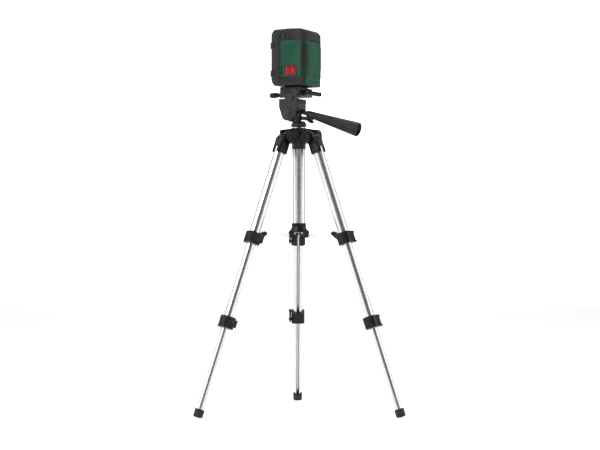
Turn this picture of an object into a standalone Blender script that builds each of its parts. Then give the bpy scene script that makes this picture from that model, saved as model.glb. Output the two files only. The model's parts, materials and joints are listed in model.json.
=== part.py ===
"""Laser level on a small folding tripod, as separate solids at real size.

Metres, +Z up. The tripod stands with its legs open and every section drawn out, and the level
faces HEAD_YAW. The origin is under the middle of the object's box, on the floor.
"""

import math

import bmesh
import bpy
from mathutils import Vector

MM = 0.001

# Fits
GAP = 0.3 * MM  # between faces that touch on the real object
RUN = 0.35 * MM  # round a shaft that turns or slides

# Legs: a hinge under each arm of the shoulder, and three sections that slide into each other
LEG_AZIMUTHS = {"rear": 90.0, "left": 210.0, "right": 330.0}
LEG_TILT = 19.43  # degrees from upright, with the legs open
HINGE_RADIUS = 22.0 * MM
HINGE_HEIGHT = 424.0 * MM
LEG_OFFSET = 4.1 * MM  # a leg's centre line lies this far outside its hinge
UPPER_TUBE_RADIUS = 8.4 * MM
UPPER_TUBE_WALL = 1.1 * MM
MIDDLE_TUBE_RADIUS = 7.0 * MM
MIDDLE_TUBE_WALL = 1.2 * MM
LOWER_TUBE_RADIUS = 5.2 * MM
LOWER_TUBE_WALL = 1.1 * MM
SLOT_WIDTH = 4.6 * MM  # the open side of each section, which faces the centre
UPPER_TUBE_TOP = 8.4 * MM  # these are distances down the leg from its hinge
UPPER_CLAMP_MIDDLE = 167.0 * MM
LOWER_CLAMP_MIDDLE = 301.6 * MM
TUBE_OVERLAP = 20.0 * MM  # of each section's top end inside the section above
TUBE_IN_CLAMP = 4.0 * MM  # how far a tube's end reaches past the middle of its clamp
CLAMP_HEIGHT = 18.0 * MM
UPPER_CLAMP_WIDTH = 22.6 * MM
LOWER_CLAMP_WIDTH = 21.0 * MM
CLAMP_DEPTH_SHARE = 0.92  # of a clamp's width
LEVER_THICKNESS = 3.4 * MM
LEVER_PIN_RADIUS = 1.2 * MM
FOOT_RADIUS = 7.25 * MM
FOOT_LENGTH = 12.6 * MM
FOOT_FLAT_DEPTH = 1.9 * MM  # how much of the foot's lowest edge is flattened on the floor

# Leg caps
CAP_HALF_WIDTH = 9.8 * MM
CAP_KNUCKLE_RADIUS = 8.4 * MM
CAP_LENGTH = 28.0 * MM
CAP_FRONT_LENGTH = 19.0 * MM
CAP_PRONG_SPACE = 12.4 * MM

# Shoulder, guide tube and centre column
EAR_GAP = 0.4 * MM
EAR_THICKNESS = 1.8 * MM
EAR_REACH = 29.0 * MM
SHOULDER_BOTTOM = 415.0 * MM
SHOULDER_ROOF = 433.2 * MM
SHOULDER_EDGE = 435.8 * MM
SHOULDER_TOP = 438.6 * MM
SHOULDER_CORE_RADIUS = 12.6 * MM
COLLAR_RADIUS = 10.8 * MM
COLLAR_BOTTOM = 406.0 * MM
HINGE_BOLT_RADIUS = 2.2 * MM
BOLT_HEAD_RADIUS = 3.5 * MM
BOLT_HEAD_THICKNESS = 1.4 * MM
GUIDE_TUBE_RADIUS = 9.4 * MM
GUIDE_TUBE_WALL = 2.0 * MM
GUIDE_TUBE_BOTTOM = 276.5 * MM
GUIDE_TUBE_TOP = 429.0 * MM
COLUMN_RADIUS = 7.0 * MM
COLUMN_WALL = 1.2 * MM
COLUMN_BOTTOM = 282.0 * MM
COLUMN_FLANGE_RADIUS = 9.2 * MM
COLUMN_FLANGE_THICKNESS = 1.3 * MM
PAN_STUD_RADIUS = 3.6 * MM
PAN_STUD_HEIGHT = 5.0 * MM
COLUMN_KNOB_AZIMUTH = 30.0
COLUMN_KNOB_HEIGHT = 427.0 * MM
COLUMN_KNOB_RADIUS = 10.5 * MM
COLUMN_KNOB_START = 27.0 * MM
COLUMN_KNOB_END = 36.0 * MM
COLUMN_KNOB_RIBS = 14
COLUMN_BOSS_RADIUS = 6.0 * MM
COLUMN_SCREW_RADIUS = 2.4 * MM

# Spreader
HUB_PIVOT_RADIUS = 13.3 * MM
HUB_PIVOT_HEIGHT = 272.4 * MM
HUB_SKIRT_RADIUS = 15.3 * MM
HUB_COLLAR_RADIUS = 11.2 * MM
HUB_SKIRT_HEIGHT = 7.0 * MM
HUB_HEIGHT = 14.2 * MM
LUG_THICKNESS = 2.1 * MM
ARM_HEIGHT = 6.8 * MM
ARM_THICKNESS = 2.0 * MM
ARM_END_INSIDE = 15.4 * MM  # the outer pivot's distance from the leg's centre line
ARM_END_ABOVE = 13.1 * MM  # and its distance above the upper clamp's middle

# Head, in its own frame: forward along +X, the level's switch side along +Y
HEAD_YAW = 152.0
PAN_BASE_BOTTOM = 440.6 * MM
PAN_BASE_RADIUS = 12.0 * MM
PAN_BASE_TOP_RADIUS = 9.3 * MM
PAN_BASE_TOP = 449.0 * MM
TILT_FORWARD = 8.4 * MM
TILT_HEIGHT = 459.5 * MM
TILT_KNUCKLE_RADIUS = 8.0 * MM
TILT_KNUCKLE_SIDES = (-6.0 * MM, 15.0 * MM)
TILT_BOLT_RADIUS = 2.5 * MM
TILT_COVER_RADIUS = 6.2 * MM
TILT_COVER_THICKNESS = 1.4 * MM
PAN_KNOB_AZIMUTH = 240.0
PAN_KNOB_HEIGHT = 454.4 * MM
PAN_KNOB_START = 14.6 * MM
PAN_KNOB_LENGTH = 11.0 * MM
PAN_KNOB_HUB_RADIUS = 3.8 * MM
PAN_KNOB_WING_REACH = 7.2 * MM
PAN_BOSS_RADIUS = 3.0 * MM
PAN_SCREW_RADIUS = 1.6 * MM
BRACKET_PLATE = 4.2 * MM
BRACKET_ROUND = 10.4 * MM
BRACKET_FAR_ROUND = 8.4 * MM
BRACKET_FAR_REACH = 10.0 * MM  # fore and aft of the tilt axis
BRACKET_FRONT = 23.1 * MM
BRACKET_REAR = -7.9 * MM
BRACKET_TOP = 483.2 * MM
BRACKET_DECK_THICKNESS = 7.0 * MM
HANDLE_SIDE = 3.0 * MM
HANDLE_FRONT = (-2.0 * MM, 465.2 * MM)  # forward and height of the stem's inner end
HANDLE_DROP = 17.8  # degrees below level
HANDLE_LENGTH = 106.3 * MM
STEM_RADIUS = 3.4 * MM
GRIP_LENGTH = 91.0 * MM
GRIP_RADIUS = 10.8 * MM
GRIP_START_RADIUS = 4.9 * MM
GRIP_HOLLOW_DEPTH = 4.0 * MM

# Platform that flips to the side, with its plate and lever
FLIP_SIDE = 23.6 * MM
FLIP_HEIGHT = 488.6 * MM
FLIP_KNUCKLE_RADIUS = 4.3 * MM
FLIP_KNUCKLE = (-1.9 * MM, 11.4 * MM)  # from and to, along the hinge, of the bracket's knuckle
FLIP_PIN_RADIUS = 1.9 * MM
SIDE_KNOB_RADIUS = 4.2 * MM
SIDE_KNOB_LENGTH = 18.0 * MM
PLATFORM_MIDDLE = 4.6 * MM
PLATFORM_LENGTH = 30.0 * MM
PLATFORM_WIDTH = 54.0 * MM
PLATFORM_BOTTOM = 487.6 * MM
PLATFORM_TOP = 500.6 * MM
PLATFORM_FLOOR = 4.0 * MM
PLATE_LENGTH = 25.4 * MM
PLATE_WIDTH = 38.0 * MM
PLATE_TOP = 501.3 * MM
PAD_INSET = 0.8 * MM
SCREW_HEAD_RADIUS = 8.0 * MM
SCREW_RADIUS = 3.1 * MM
SCREW_TOP = 509.5 * MM
RELEASE_PIVOT = (-16.0 * MM, 10.0 * MM)
RELEASE_PIN_RADIUS = 1.7 * MM
RELEASE_HUB_RADIUS = 4.2 * MM
RELEASE_LENGTH = 47.0 * MM
RELEASE_THICKNESS = 3.6 * MM

# Laser level
LASER_MIDDLE = 4.8 * MM
LASER_BOTTOM = 503.3 * MM
LASER_TOP = 590.6 * MM
LASER_LENGTH = 64.0 * MM
LASER_WIDTH = 58.0 * MM
LASER_CORNER = 10.0 * MM
LASER_TOP_CHAMFER = (9.4 * MM, 8.9 * MM)
LASER_FOOT_CHAMFER = (8.8 * MM, 10.6 * MM)
JACKET_WALL = 1.6 * MM
PANEL_SET_BACK = 0.4 * MM
PANEL_FRONT = 17.6 * MM
PANEL_BOTTOM = 516.5 * MM
PANEL_TOP = 572.6 * MM
REAR_PANEL_EDGE = -24.5 * MM
NOTCH_WIDTH = 6.2 * MM
NOTCH_PITCH = 8.2 * MM
NOTCH_FIRST = 14.6 * MM
NOTCH_HEIGHT = 8.6 * MM
NOTCH_BOTTOM = 574.6 * MM
NOTCH_DEPTH = 0.8 * MM
BUMP_HEIGHT = 9.0 * MM
BUMP_REACH = 1.6 * MM
BUMP_WRAP = 7.5 * MM
BUMP_HEIGHTS = (522.5 * MM, 566.0 * MM)
WINDOW_WIDTH = 30.0 * MM
WINDOW_BOTTOM = 527.0 * MM
WINDOW_TOP = 571.0 * MM
WINDOW_REST = 1.5 * MM
WINDOW_THICKNESS = 2.0 * MM
CHAMBER_REAR = -6.0 * MM
CHAMBER_FRONT = 29.0 * MM
CHAMBER_HALF_WIDTH = 20.5 * MM
CHAMBER_BOTTOM = 512.0 * MM
CHAMBER_TOP = 581.0 * MM
SWITCH_MIDDLE = -1.15 * MM
SWITCH_LENGTH = 19.5 * MM
SWITCH_HEIGHT = 13.5 * MM
SWITCH_LEVEL = 525.8 * MM
SWITCH_TRAVEL = 7.5 * MM
SWITCH_GROOVE = 1.3 * MM
SWITCH_RECESS_DEPTH = 3.0 * MM
BUTTON_SIZE = (13.0 * MM, 9.0 * MM)
BUTTON_PROUD = 0.5 * MM
BUTTON_FORWARD = 10.0 * MM
BATTERY_RADIUS = 7.1 * MM
BATTERY_LENGTH = 50.0 * MM
BATTERY_BOTTOM = 513.4 * MM
BATTERY_FORWARD = -16.6 * MM
BAY_HALF_WIDTH = 16.2 * MM
BAY_FRONT = -8.8 * MM
DOOR_BOTTOM = 511.0 * MM
DOOR_TOP = 566.0 * MM
DOOR_THICKNESS = 2.0 * MM
INSERT_RADIUS = 6.0 * MM
INSERT_HEIGHT = 6.8 * MM
GIMBAL_LEVEL = 570.5 * MM
GIMBAL_FORWARD = 11.0 * MM
GIMBAL_RADIUS = 11.0 * MM
GIMBAL_WALL = 2.2 * MM
GIMBAL_THICKNESS = 3.6 * MM
GIMBAL_PIN_RADIUS = 0.9 * MM
PENDULUM_LENGTH = 40.0 * MM

# Colour, roughness, metallic
FINISHES = {
    "aluminium": ((0.80, 0.81, 0.82), 0.28, 1.0),
    "steel": ((0.62, 0.63, 0.64), 0.35, 1.0),
    "brass": ((0.72, 0.55, 0.28), 0.35, 1.0),
    "black_plastic": ((0.025, 0.025, 0.028), 0.5, 0.0),
    "grey_plastic": ((0.10, 0.10, 0.105), 0.5, 0.0),
    "rubber": ((0.06, 0.06, 0.062), 0.8, 0.0),
    "green_plastic": ((0.015, 0.10, 0.055), 0.45, 0.0),
    "red_plastic": ((0.60, 0.03, 0.03), 0.4, 0.0),
    "glass": ((0.6, 0.65, 0.65), 0.05, 0.0),
    "battery": ((0.30, 0.30, 0.32), 0.4, 0.0),
}


def finish(name):
    """The material of this name, made once."""
    if name in bpy.data.materials:
        return bpy.data.materials[name]
    colour, roughness, metallic = FINISHES[name]
    material = bpy.data.materials.new(name)
    material.use_nodes = True
    shader = material.node_tree.nodes["Principled BSDF"]
    shader.inputs["Base Color"].default_value = (*colour, 1.0)
    shader.inputs["Roughness"].default_value = roughness
    shader.inputs["Metallic"].default_value = metallic
    return material


def empty(name, parent, location=(0, 0, 0), turn=(0, 0, 0)):
    """A frame for the pieces that move together, with its origin on their joint's axis."""
    frame = bpy.data.objects.new(name, None)
    bpy.context.collection.objects.link(frame)
    frame.parent = parent
    frame.location = location
    frame.rotation_euler = [math.radians(angle) for angle in turn]
    return frame


def solid(name, shape, parent, material=None, location=(0, 0, 0), turn=(0, 0, 0)):
    """An object with this bmesh; without a material it is a helper, which isn't part of the level."""
    bmesh.ops.recalc_face_normals(shape, faces=shape.faces)
    mesh = bpy.data.meshes.new(name)
    shape.to_mesh(mesh)
    shape.free()
    item = bpy.data.objects.new(name, mesh)
    bpy.context.collection.objects.link(item)
    item.parent = parent
    item.location = location
    item.rotation_euler = [math.radians(angle) for angle in turn]
    if material is None:
        item.hide_render = True
        item.display_type = "WIRE"
        return item
    mesh.materials.append(finish(material))
    mesh.shade_smooth()
    mesh.set_sharp_from_angle(angle=math.radians(32))
    return item


def boolean(item, operation, helper):
    """Joins, cuts or keeps the item with a helper object."""
    step = item.modifiers.new(operation.title(), "BOOLEAN")
    step.operation = operation
    step.object = helper
    step.solver = "EXACT"


def combine(item, operation, shape, location=(0, 0, 0), turn=(0, 0, 0), parent=None):
    """Adds the shape to the item, cuts it away, or keeps what they share."""
    place = parent or item.parent
    if parent is None:
        location = Vector(item.location) + Vector(location)
    boolean(item, operation, solid(f"{item.name}_{operation.lower()}", shape, place, None, location, turn))


def add(item, shape, **place):
    combine(item, "UNION", shape, **place)


def cut(item, shape, **place):
    combine(item, "DIFFERENCE", shape, **place)


def keep(item, shape, **place):
    combine(item, "INTERSECT", shape, **place)


def arc(middle, radius, start, end, steps):
    """Points along an arc, from one angle to another in degrees."""
    angles = [math.radians(start + (end - start) * i / steps) for i in range(steps + 1)]
    return [(middle[0] + radius * math.cos(a), middle[1] + radius * math.sin(a)) for a in angles]


def circle(radius, steps=24, middle=(0, 0)):
    return arc(middle, radius, 0, 360, steps)[:-1]


def rounded(low, high, radius, steps=2):
    """A rectangle between two corners, with its own corners rounded."""
    spots = (
        (high[0] - radius, high[1] - radius, 0),
        (low[0] + radius, high[1] - radius, 90),
        (low[0] + radius, low[1] + radius, 180),
        (high[0] - radius, low[1] + radius, 270),
    )
    return [point for x, y, start in spots for point in arc((x, y), radius, start, start + 90, steps)]


def prism(outline, low, high, axis="z"):
    """The outline drawn out along an axis: (x, y) along z, (x, z) along y, (y, z) along x."""
    order = {
        "z": lambda a, b, c: (a, b, c),
        "y": lambda a, b, c: (a, c, b),
        "x": lambda a, b, c: (c, a, b),
    }[axis]
    shape = bmesh.new()
    ends = [[shape.verts.new(order(a, b, level)) for a, b in outline] for level in (low, high)]
    for points in ends:
        shape.faces.new(points)
    for i in range(len(outline)):
        shape.faces.new((ends[0][i - 1], ends[0][i], ends[1][i], ends[1][i - 1]))
    return shape


def box(low, high):
    corners = [(low[0], low[1]), (high[0], low[1]), (high[0], high[1]), (low[0], high[1])]
    return prism(corners, low[2], high[2])


def turned(profile, steps=24, ring=False):
    """The (radius, height) profile turned about z; a ring's profile closes on itself."""
    shape = bmesh.new()
    angles = [math.tau * i / steps for i in range(steps)]
    rows = []
    for radius, height in profile:
        if radius == 0:
            rows.append([shape.verts.new((0, 0, height))] * steps)
        else:
            row = [(radius * math.cos(a), radius * math.sin(a), height) for a in angles]
            rows.append([shape.verts.new(point) for point in row])
    pairs = list(zip(rows, rows[1:] + rows[:1]))
    for one, two in pairs if ring else pairs[:-1]:
        for i in range(steps):
            corners = list(dict.fromkeys((one[i - 1], one[i], two[i], two[i - 1])))
            if len(corners) > 2:
                shape.faces.new(corners)
    return shape


def rod(radius, low, high, steps=16, edge=0.0):
    """A cylinder along z; edge is the width of its end chamfers."""
    if edge:
        profile = [(0, high), (radius - edge, high), (radius, high - edge)]
        profile += [(radius, low + edge), (radius - edge, low), (0, low)]
        return turned(profile, steps)
    return prism(circle(radius, steps), low, high)


def channel(radius, wall, steps=16):
    """The outline of a tube whose side towards -x is open by SLOT_WIDTH."""
    inner = radius - wall
    half = SLOT_WIDTH / 2
    outer_gap = math.degrees(math.asin(half / radius))
    inner_gap = math.degrees(math.asin(half / inner))
    outside = arc((0, 0), radius, -180 + outer_gap, 180 - outer_gap, steps)
    inside = arc((0, 0), inner, 180 - inner_gap, -180 + inner_gap, steps)
    return outside + inside


def hull_outline(circles, steps=6):
    """The outline round two circles (x, y, radius), as a belt would run."""
    (ax, ay, ar), (bx, by, br) = circles
    way = math.degrees(math.atan2(by - ay, bx - ax))
    lean = math.degrees(math.acos((ar - br) / math.hypot(bx - ax, by - ay)))
    far = arc((bx, by), br, way - lean, way + lean, steps)
    near = arc((ax, ay), ar, way + lean, way - lean + 360, steps)
    return far + near


# Leg frame: origin on the hinge axis, +X outwards, +Z up the leg; the tubes are centred on x = LEG_OFFSET
CAP_BORE = UPPER_TUBE_RADIUS + GAP
EAR_INSIDE = CAP_HALF_WIDTH + EAR_GAP
EAR_OUTSIDE = EAR_INSIDE + EAR_THICKNESS
UPPER_TUBE_END = UPPER_CLAMP_MIDDLE + TUBE_IN_CLAMP
MIDDLE_TUBE_END = LOWER_CLAMP_MIDDLE + TUBE_IN_CLAMP
TILT_SINE = math.sin(math.radians(LEG_TILT))
TILT_COSINE = math.cos(math.radians(LEG_TILT))
FOOT_INNER_EDGE = LEG_OFFSET - FOOT_RADIUS
FOOT_END = (HINGE_HEIGHT + FOOT_INNER_EDGE * TILT_SINE + FOOT_FLAT_DEPTH) / TILT_COSINE
ARM_END_X = LEG_OFFSET - ARM_END_INSIDE
ARM_END_DOWN = UPPER_CLAMP_MIDDLE - ARM_END_ABOVE


def leg_cap(side, leg):
    low = LEG_OFFSET - CAP_HALF_WIDTH
    high = LEG_OFFSET + CAP_HALF_WIDTH
    sleeve = rounded((low, -CAP_HALF_WIDTH), (high, CAP_HALF_WIDTH), 4.5 * MM)
    cap = solid(f"leg_cap_{side}", prism(sleeve, -CAP_LENGTH, -4.0 * MM), leg, "black_plastic")
    knuckle = hull_outline(((0, 0, CAP_KNUCKLE_RADIUS), (LEG_OFFSET, -8.0 * MM, CAP_KNUCKLE_RADIUS)))
    add(cap, prism(knuckle, 0.1 * MM - CAP_HALF_WIDTH, CAP_HALF_WIDTH - 0.1 * MM, "y"))
    bore = rod(CAP_BORE, -CAP_LENGTH - MM, -UPPER_TUBE_TOP + GAP, 24)
    cut(cap, bore, location=(LEG_OFFSET, 0, 0))
    reach = CAP_HALF_WIDTH + MM
    half = CAP_PRONG_SPACE / 2
    space = box((LEG_OFFSET - reach, -half, -CAP_LENGTH - MM), (LEG_OFFSET + reach, half, -CAP_FRONT_LENGTH))
    cut(cap, space)
    hole = prism(circle(HINGE_BOLT_RADIUS + RUN, 16), -2 * reach, 2 * reach, "y")
    cut(cap, hole)


def hinge_bolt(side, mount):
    """A bolt through both ears and the cap, with a head at each end."""
    reach = EAR_OUTSIDE + GAP
    end = reach + BOLT_HEAD_THICKNESS
    edge = 0.4 * MM
    half = [(0, end), (BOLT_HEAD_RADIUS - edge, end), (BOLT_HEAD_RADIUS, end - edge)]
    half += [(BOLT_HEAD_RADIUS, reach), (HINGE_BOLT_RADIUS, reach)]
    profile = half + [(radius, -height) for radius, height in reversed(half)]
    solid(f"leg_hinge_bolt_{side}", turned(profile, 16), mount, "steel", turn=(90, 0, 0))


def leg_tube(name, leg, radius, wall, top, bottom):
    solid(name, prism(channel(radius, wall), -bottom, -top), leg, "aluminium", (LEG_OFFSET, 0, 0))


def clamp(name, leg, middle, width, outer, inner):
    """A collar over the end of the outer tube, bored smaller below for the inner one."""
    half = width / 2
    deep = half * CLAMP_DEPTH_SHARE
    low = -middle - CLAMP_HEIGHT / 2
    high = -middle + CLAMP_HEIGHT / 2
    outline = rounded((-deep, -half), (deep, half), 4.0 * MM)
    collar = solid(name, prism(outline, low, high), leg, "black_plastic", (LEG_OFFSET, 0, 0))
    pivot = lever_pivot(width)
    ear_radius = LEVER_PIN_RADIUS + 1.9 * MM
    ear = hull_outline(((*pivot, ear_radius), (pivot[0] - 2 * MM, half - 4.5 * MM, ear_radius)), 4)
    notch = CLAMP_HEIGHT / 2 - 3.0 * MM
    add(collar, prism(ear, high - 3.0 * MM, high - 0.2 * MM))
    add(collar, prism(ear, low + 0.2 * MM, low + 3.0 * MM))
    room_low = (pivot[0] - ear_radius - MM, half - 1.6 * MM, -middle - notch)
    room = box(room_low, (half + MM, 2 * half, -middle + notch))
    cut(collar, room)
    step = -middle - TUBE_IN_CLAMP - GAP
    cut(collar, rod(outer + GAP, step, high + MM, 20))
    cut(collar, rod(inner + RUN, low - MM, step + 0.1 * MM, 20))
    cut(collar, rod(LEVER_PIN_RADIUS + RUN, low - MM, high + MM, 8), location=(*pivot, 0))
    return collar


def lever_pivot(width):
    """Where the clamp lever's pin stands, seen down the leg from the tube's middle."""
    return (width / 2 * CLAMP_DEPTH_SHARE - 2.6 * MM, width / 2 + 1.6 * MM)


def clamp_lever(name, leg, middle, width):
    """A flap along the collar's side, on a pin along the leg."""
    pivot = lever_pivot(width)
    height = CLAMP_HEIGHT - 2 * (3.0 * MM + GAP)
    frame = empty(f"{name}_axis", leg, (LEG_OFFSET + pivot[0], pivot[1], -middle))
    half = LEVER_THICKNESS / 2
    length = width * CLAMP_DEPTH_SHARE - 3.0 * MM
    flap = hull_outline(((0, 0.4 * MM, half), (-length, 0.6 * MM, 0.7 * half)), 6)
    lever = solid(name, prism(flap, -height / 2, height / 2), frame, "black_plastic")
    add(lever, rod(LEVER_PIN_RADIUS, -CLAMP_HEIGHT / 2 + 0.8 * MM, CLAMP_HEIGHT / 2 - 0.8 * MM, 8))


def arm_lug(collar):
    """Two cheeks that stand up from the upper clamp and hold the spreader arm between them."""
    radius = 3.6 * MM
    back = LEG_OFFSET - UPPER_CLAMP_WIDTH / 2 * CLAMP_DEPTH_SHARE
    bottom = -UPPER_CLAMP_MIDDLE - 3.0 * MM
    top = -UPPER_CLAMP_MIDDLE + CLAMP_HEIGHT / 2 - 0.5 * MM
    outline = arc((ARM_END_X, -ARM_END_DOWN), radius, 60, 215, 8)
    outline += [(back + MM, bottom), (back + MM, top)]
    half = SLOT_WIDTH / 2 + LUG_THICKNESS
    shape = prism(outline, -half, half, "y")
    add(collar, shape, location=(-LEG_OFFSET, 0, 0))
    reach = UPPER_CLAMP_WIDTH
    half = SLOT_WIDTH / 2
    slot = box((-2 * reach, -half, -2 * UPPER_CLAMP_MIDDLE), (0, half, 0))
    cut(collar, slot)


def foot(side, leg, base):
    low = -FOOT_END
    edge = 1.4 * MM
    profile = [(0, low + FOOT_LENGTH), (FOOT_RADIUS - 0.6 * MM, low + FOOT_LENGTH)]
    profile += [(FOOT_RADIUS, low + FOOT_LENGTH - 0.6 * MM), (FOOT_RADIUS, low + edge)]
    profile += [(FOOT_RADIUS - 0.4 * edge, low + 0.4 * edge), (FOOT_RADIUS - edge, low), (0, low)]
    shoe = solid(f"foot_{side}", turned(profile), leg, "rubber", (LEG_OFFSET, 0, 0))
    bore = rod(LOWER_TUBE_RADIUS + GAP, low + 3.4 * MM, 0, 24)
    cut(shoe, bore)
    reach = 0.5
    cut(shoe, box((-reach, -reach, -reach), (reach, reach, 0)), parent=base)


def leg(side, azimuth, base):
    mount = empty(f"hinge_{side}", base, turn=(0, 0, azimuth))
    pin = empty(f"leg_pin_{side}", mount, (HINGE_RADIUS, 0, HINGE_HEIGHT))
    hinge_bolt(side, pin)
    frame = empty(f"leg_{side}", mount, (HINGE_RADIUS, 0, HINGE_HEIGHT), (0, -LEG_TILT, 0))
    leg_cap(side, frame)
    leg_tube(f"upper_tube_{side}", frame, UPPER_TUBE_RADIUS, UPPER_TUBE_WALL, UPPER_TUBE_TOP, UPPER_TUBE_END)
    collar = clamp(
        f"upper_clamp_{side}", frame, UPPER_CLAMP_MIDDLE, UPPER_CLAMP_WIDTH, UPPER_TUBE_RADIUS, MIDDLE_TUBE_RADIUS
    )
    arm_lug(collar)
    clamp_lever(f"upper_lever_{side}", frame, UPPER_CLAMP_MIDDLE, UPPER_CLAMP_WIDTH)
    middle_top = UPPER_TUBE_END - TUBE_OVERLAP
    leg_tube(f"middle_tube_{side}", frame, MIDDLE_TUBE_RADIUS, MIDDLE_TUBE_WALL, middle_top, MIDDLE_TUBE_END)
    clamp(
        f"lower_clamp_{side}", frame, LOWER_CLAMP_MIDDLE, LOWER_CLAMP_WIDTH, MIDDLE_TUBE_RADIUS, LOWER_TUBE_RADIUS
    )
    clamp_lever(f"lower_lever_{side}", frame, LOWER_CLAMP_MIDDLE, LOWER_CLAMP_WIDTH)
    lower_top = MIDDLE_TUBE_END - TUBE_OVERLAP
    lower_end = FOOT_END - 3.8 * MM
    leg_tube(f"lower_tube_{side}", frame, LOWER_TUBE_RADIUS, LOWER_TUBE_WALL, lower_top, lower_end)
    foot(side, frame, base)


def shoulder(base):
    """The crown that the legs hinge on, its collar and the lock screw's boss."""
    core = [(0, SHOULDER_TOP), (11 * MM, SHOULDER_TOP), (20.5 * MM, SHOULDER_EDGE), (20.5 * MM, SHOULDER_ROOF)]
    core += [(SHOULDER_CORE_RADIUS, SHOULDER_ROOF), (SHOULDER_CORE_RADIUS, SHOULDER_BOTTOM)]
    core += [(COLLAR_RADIUS, SHOULDER_BOTTOM - MM), (COLLAR_RADIUS, COLLAR_BOTTOM), (0, COLLAR_BOTTOM)]
    crown = solid("shoulder", turned(core, 24), base, "black_plastic")
    thickness = EAR_OUTSIDE - EAR_INSIDE
    for azimuth in LEG_AZIMUTHS.values():
        for hand in (1, -1):
            ear = [(SHOULDER_CORE_RADIUS * 0.6, SHOULDER_BOTTOM + 0.3 * MM)]
            ear += [(HINGE_RADIUS + MM, SHOULDER_BOTTOM + 0.3 * MM)]
            ear += arc((HINGE_RADIUS, HINGE_HEIGHT), EAR_REACH - HINGE_RADIUS, -50, 40, 6)
            ear += [(EAR_REACH - 2 * MM, SHOULDER_EDGE), (SHOULDER_CORE_RADIUS * 0.6, SHOULDER_TOP - 0.4 * MM)]
            low = hand * EAR_INSIDE
            add(crown, prism(ear, low, low + hand * thickness, "y"), turn=(0, 0, azimuth))
        hole = prism(circle(HINGE_BOLT_RADIUS + RUN, 16), -2 * EAR_OUTSIDE, 2 * EAR_OUTSIDE, "y")
        turn = math.radians(azimuth)
        spot = (HINGE_RADIUS * math.cos(turn), HINGE_RADIUS * math.sin(turn), HINGE_HEIGHT)
        cut(crown, hole, location=spot, turn=(0, 0, azimuth))
    turn = (0, 90, COLUMN_KNOB_AZIMUTH)
    boss = rod(COLUMN_BOSS_RADIUS, 8 * MM, COLUMN_KNOB_START - GAP, 16)
    add(crown, boss, location=(0, 0, COLUMN_KNOB_HEIGHT), turn=turn)
    cut(crown, rod(GUIDE_TUBE_RADIUS + GAP, COLLAR_BOTTOM - MM, GUIDE_TUBE_TOP + GAP, 24))
    cut(crown, rod(COLUMN_RADIUS + RUN, COLLAR_BOTTOM, SHOULDER_TOP + MM, 24))
    seat = SHOULDER_TOP - COLUMN_FLANGE_THICKNESS - GAP
    cut(crown, rod(COLUMN_FLANGE_RADIUS + RUN, seat, SHOULDER_TOP + MM, 24))
    screw_hole = rod(COLUMN_SCREW_RADIUS + RUN, 0, COLUMN_KNOB_END, 16)
    cut(crown, screw_hole, location=(0, 0, COLUMN_KNOB_HEIGHT), turn=turn)


def tube(name, parent, radius, wall, low, high):
    ring = [(radius, high), (radius, low), (radius - wall, low), (radius - wall, high)]
    return solid(name, turned(ring, 24, ring=True), parent, "aluminium")


def ribbed(radius, depth, ribs):
    """The outline of a grip with round ribs."""
    steps = 4
    points = []
    for i in range(ribs * steps):
        angle = math.tau * i / (ribs * steps)
        reach = radius - depth * (0.5 - 0.5 * math.cos(ribs * angle))
        points.append((reach * math.cos(angle), reach * math.sin(angle)))
    return points


def centre(base):
    """The guide tube under the shoulder, and the column that slides in it."""
    guide = tube("guide_tube", base, GUIDE_TUBE_RADIUS, GUIDE_TUBE_WALL, GUIDE_TUBE_BOTTOM, GUIDE_TUBE_TOP)
    turn = (0, 90, COLUMN_KNOB_AZIMUTH)
    hole = rod(COLUMN_SCREW_RADIUS + RUN, 0, 2 * GUIDE_TUBE_RADIUS, 16)
    cut(guide, hole, location=(0, 0, COLUMN_KNOB_HEIGHT), turn=turn)
    column_frame = empty("column", base)
    top = SHOULDER_TOP - GAP
    under = top - COLUMN_FLANGE_THICKNESS
    outside = [(COLUMN_RADIUS, under), (COLUMN_FLANGE_RADIUS, under), (COLUMN_FLANGE_RADIUS, top + 1.6 * MM)]
    outside += [(PAN_STUD_RADIUS, top + 1.6 * MM), (PAN_STUD_RADIUS, PAN_BASE_BOTTOM + PAN_STUD_HEIGHT)]
    outside += [(0, PAN_BASE_BOTTOM + PAN_STUD_HEIGHT), (0, under - 2 * MM)]
    outside += [(COLUMN_RADIUS - COLUMN_WALL, under - 2 * MM), (COLUMN_RADIUS - COLUMN_WALL, COLUMN_BOTTOM)]
    outside += [(COLUMN_RADIUS, COLUMN_BOTTOM)]
    pole = turned_ring_with_top(outside)
    solid("centre_column", pole, column_frame, "aluminium")
    knob_frame = empty("column_lock_axis", base, (0, 0, COLUMN_KNOB_HEIGHT), turn)
    outline = ribbed(COLUMN_KNOB_RADIUS, 0.9 * MM, COLUMN_KNOB_RIBS)
    disc = prism(outline, COLUMN_KNOB_START, COLUMN_KNOB_END)
    knob = solid("column_lock_knob", disc, knob_frame, "black_plastic")
    add(knob, rod(COLUMN_SCREW_RADIUS, COLUMN_RADIUS + 0.5 * MM, COLUMN_KNOB_START + MM, 16))
    return column_frame


def turned_ring_with_top(profile):
    """A turned solid whose profile meets the axis at two neighbouring points and closes on itself."""
    start = next(i for i, point in enumerate(profile) if point[0] == 0)
    return turned(profile[start + 1 :] + profile[: start + 1], 24)


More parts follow.
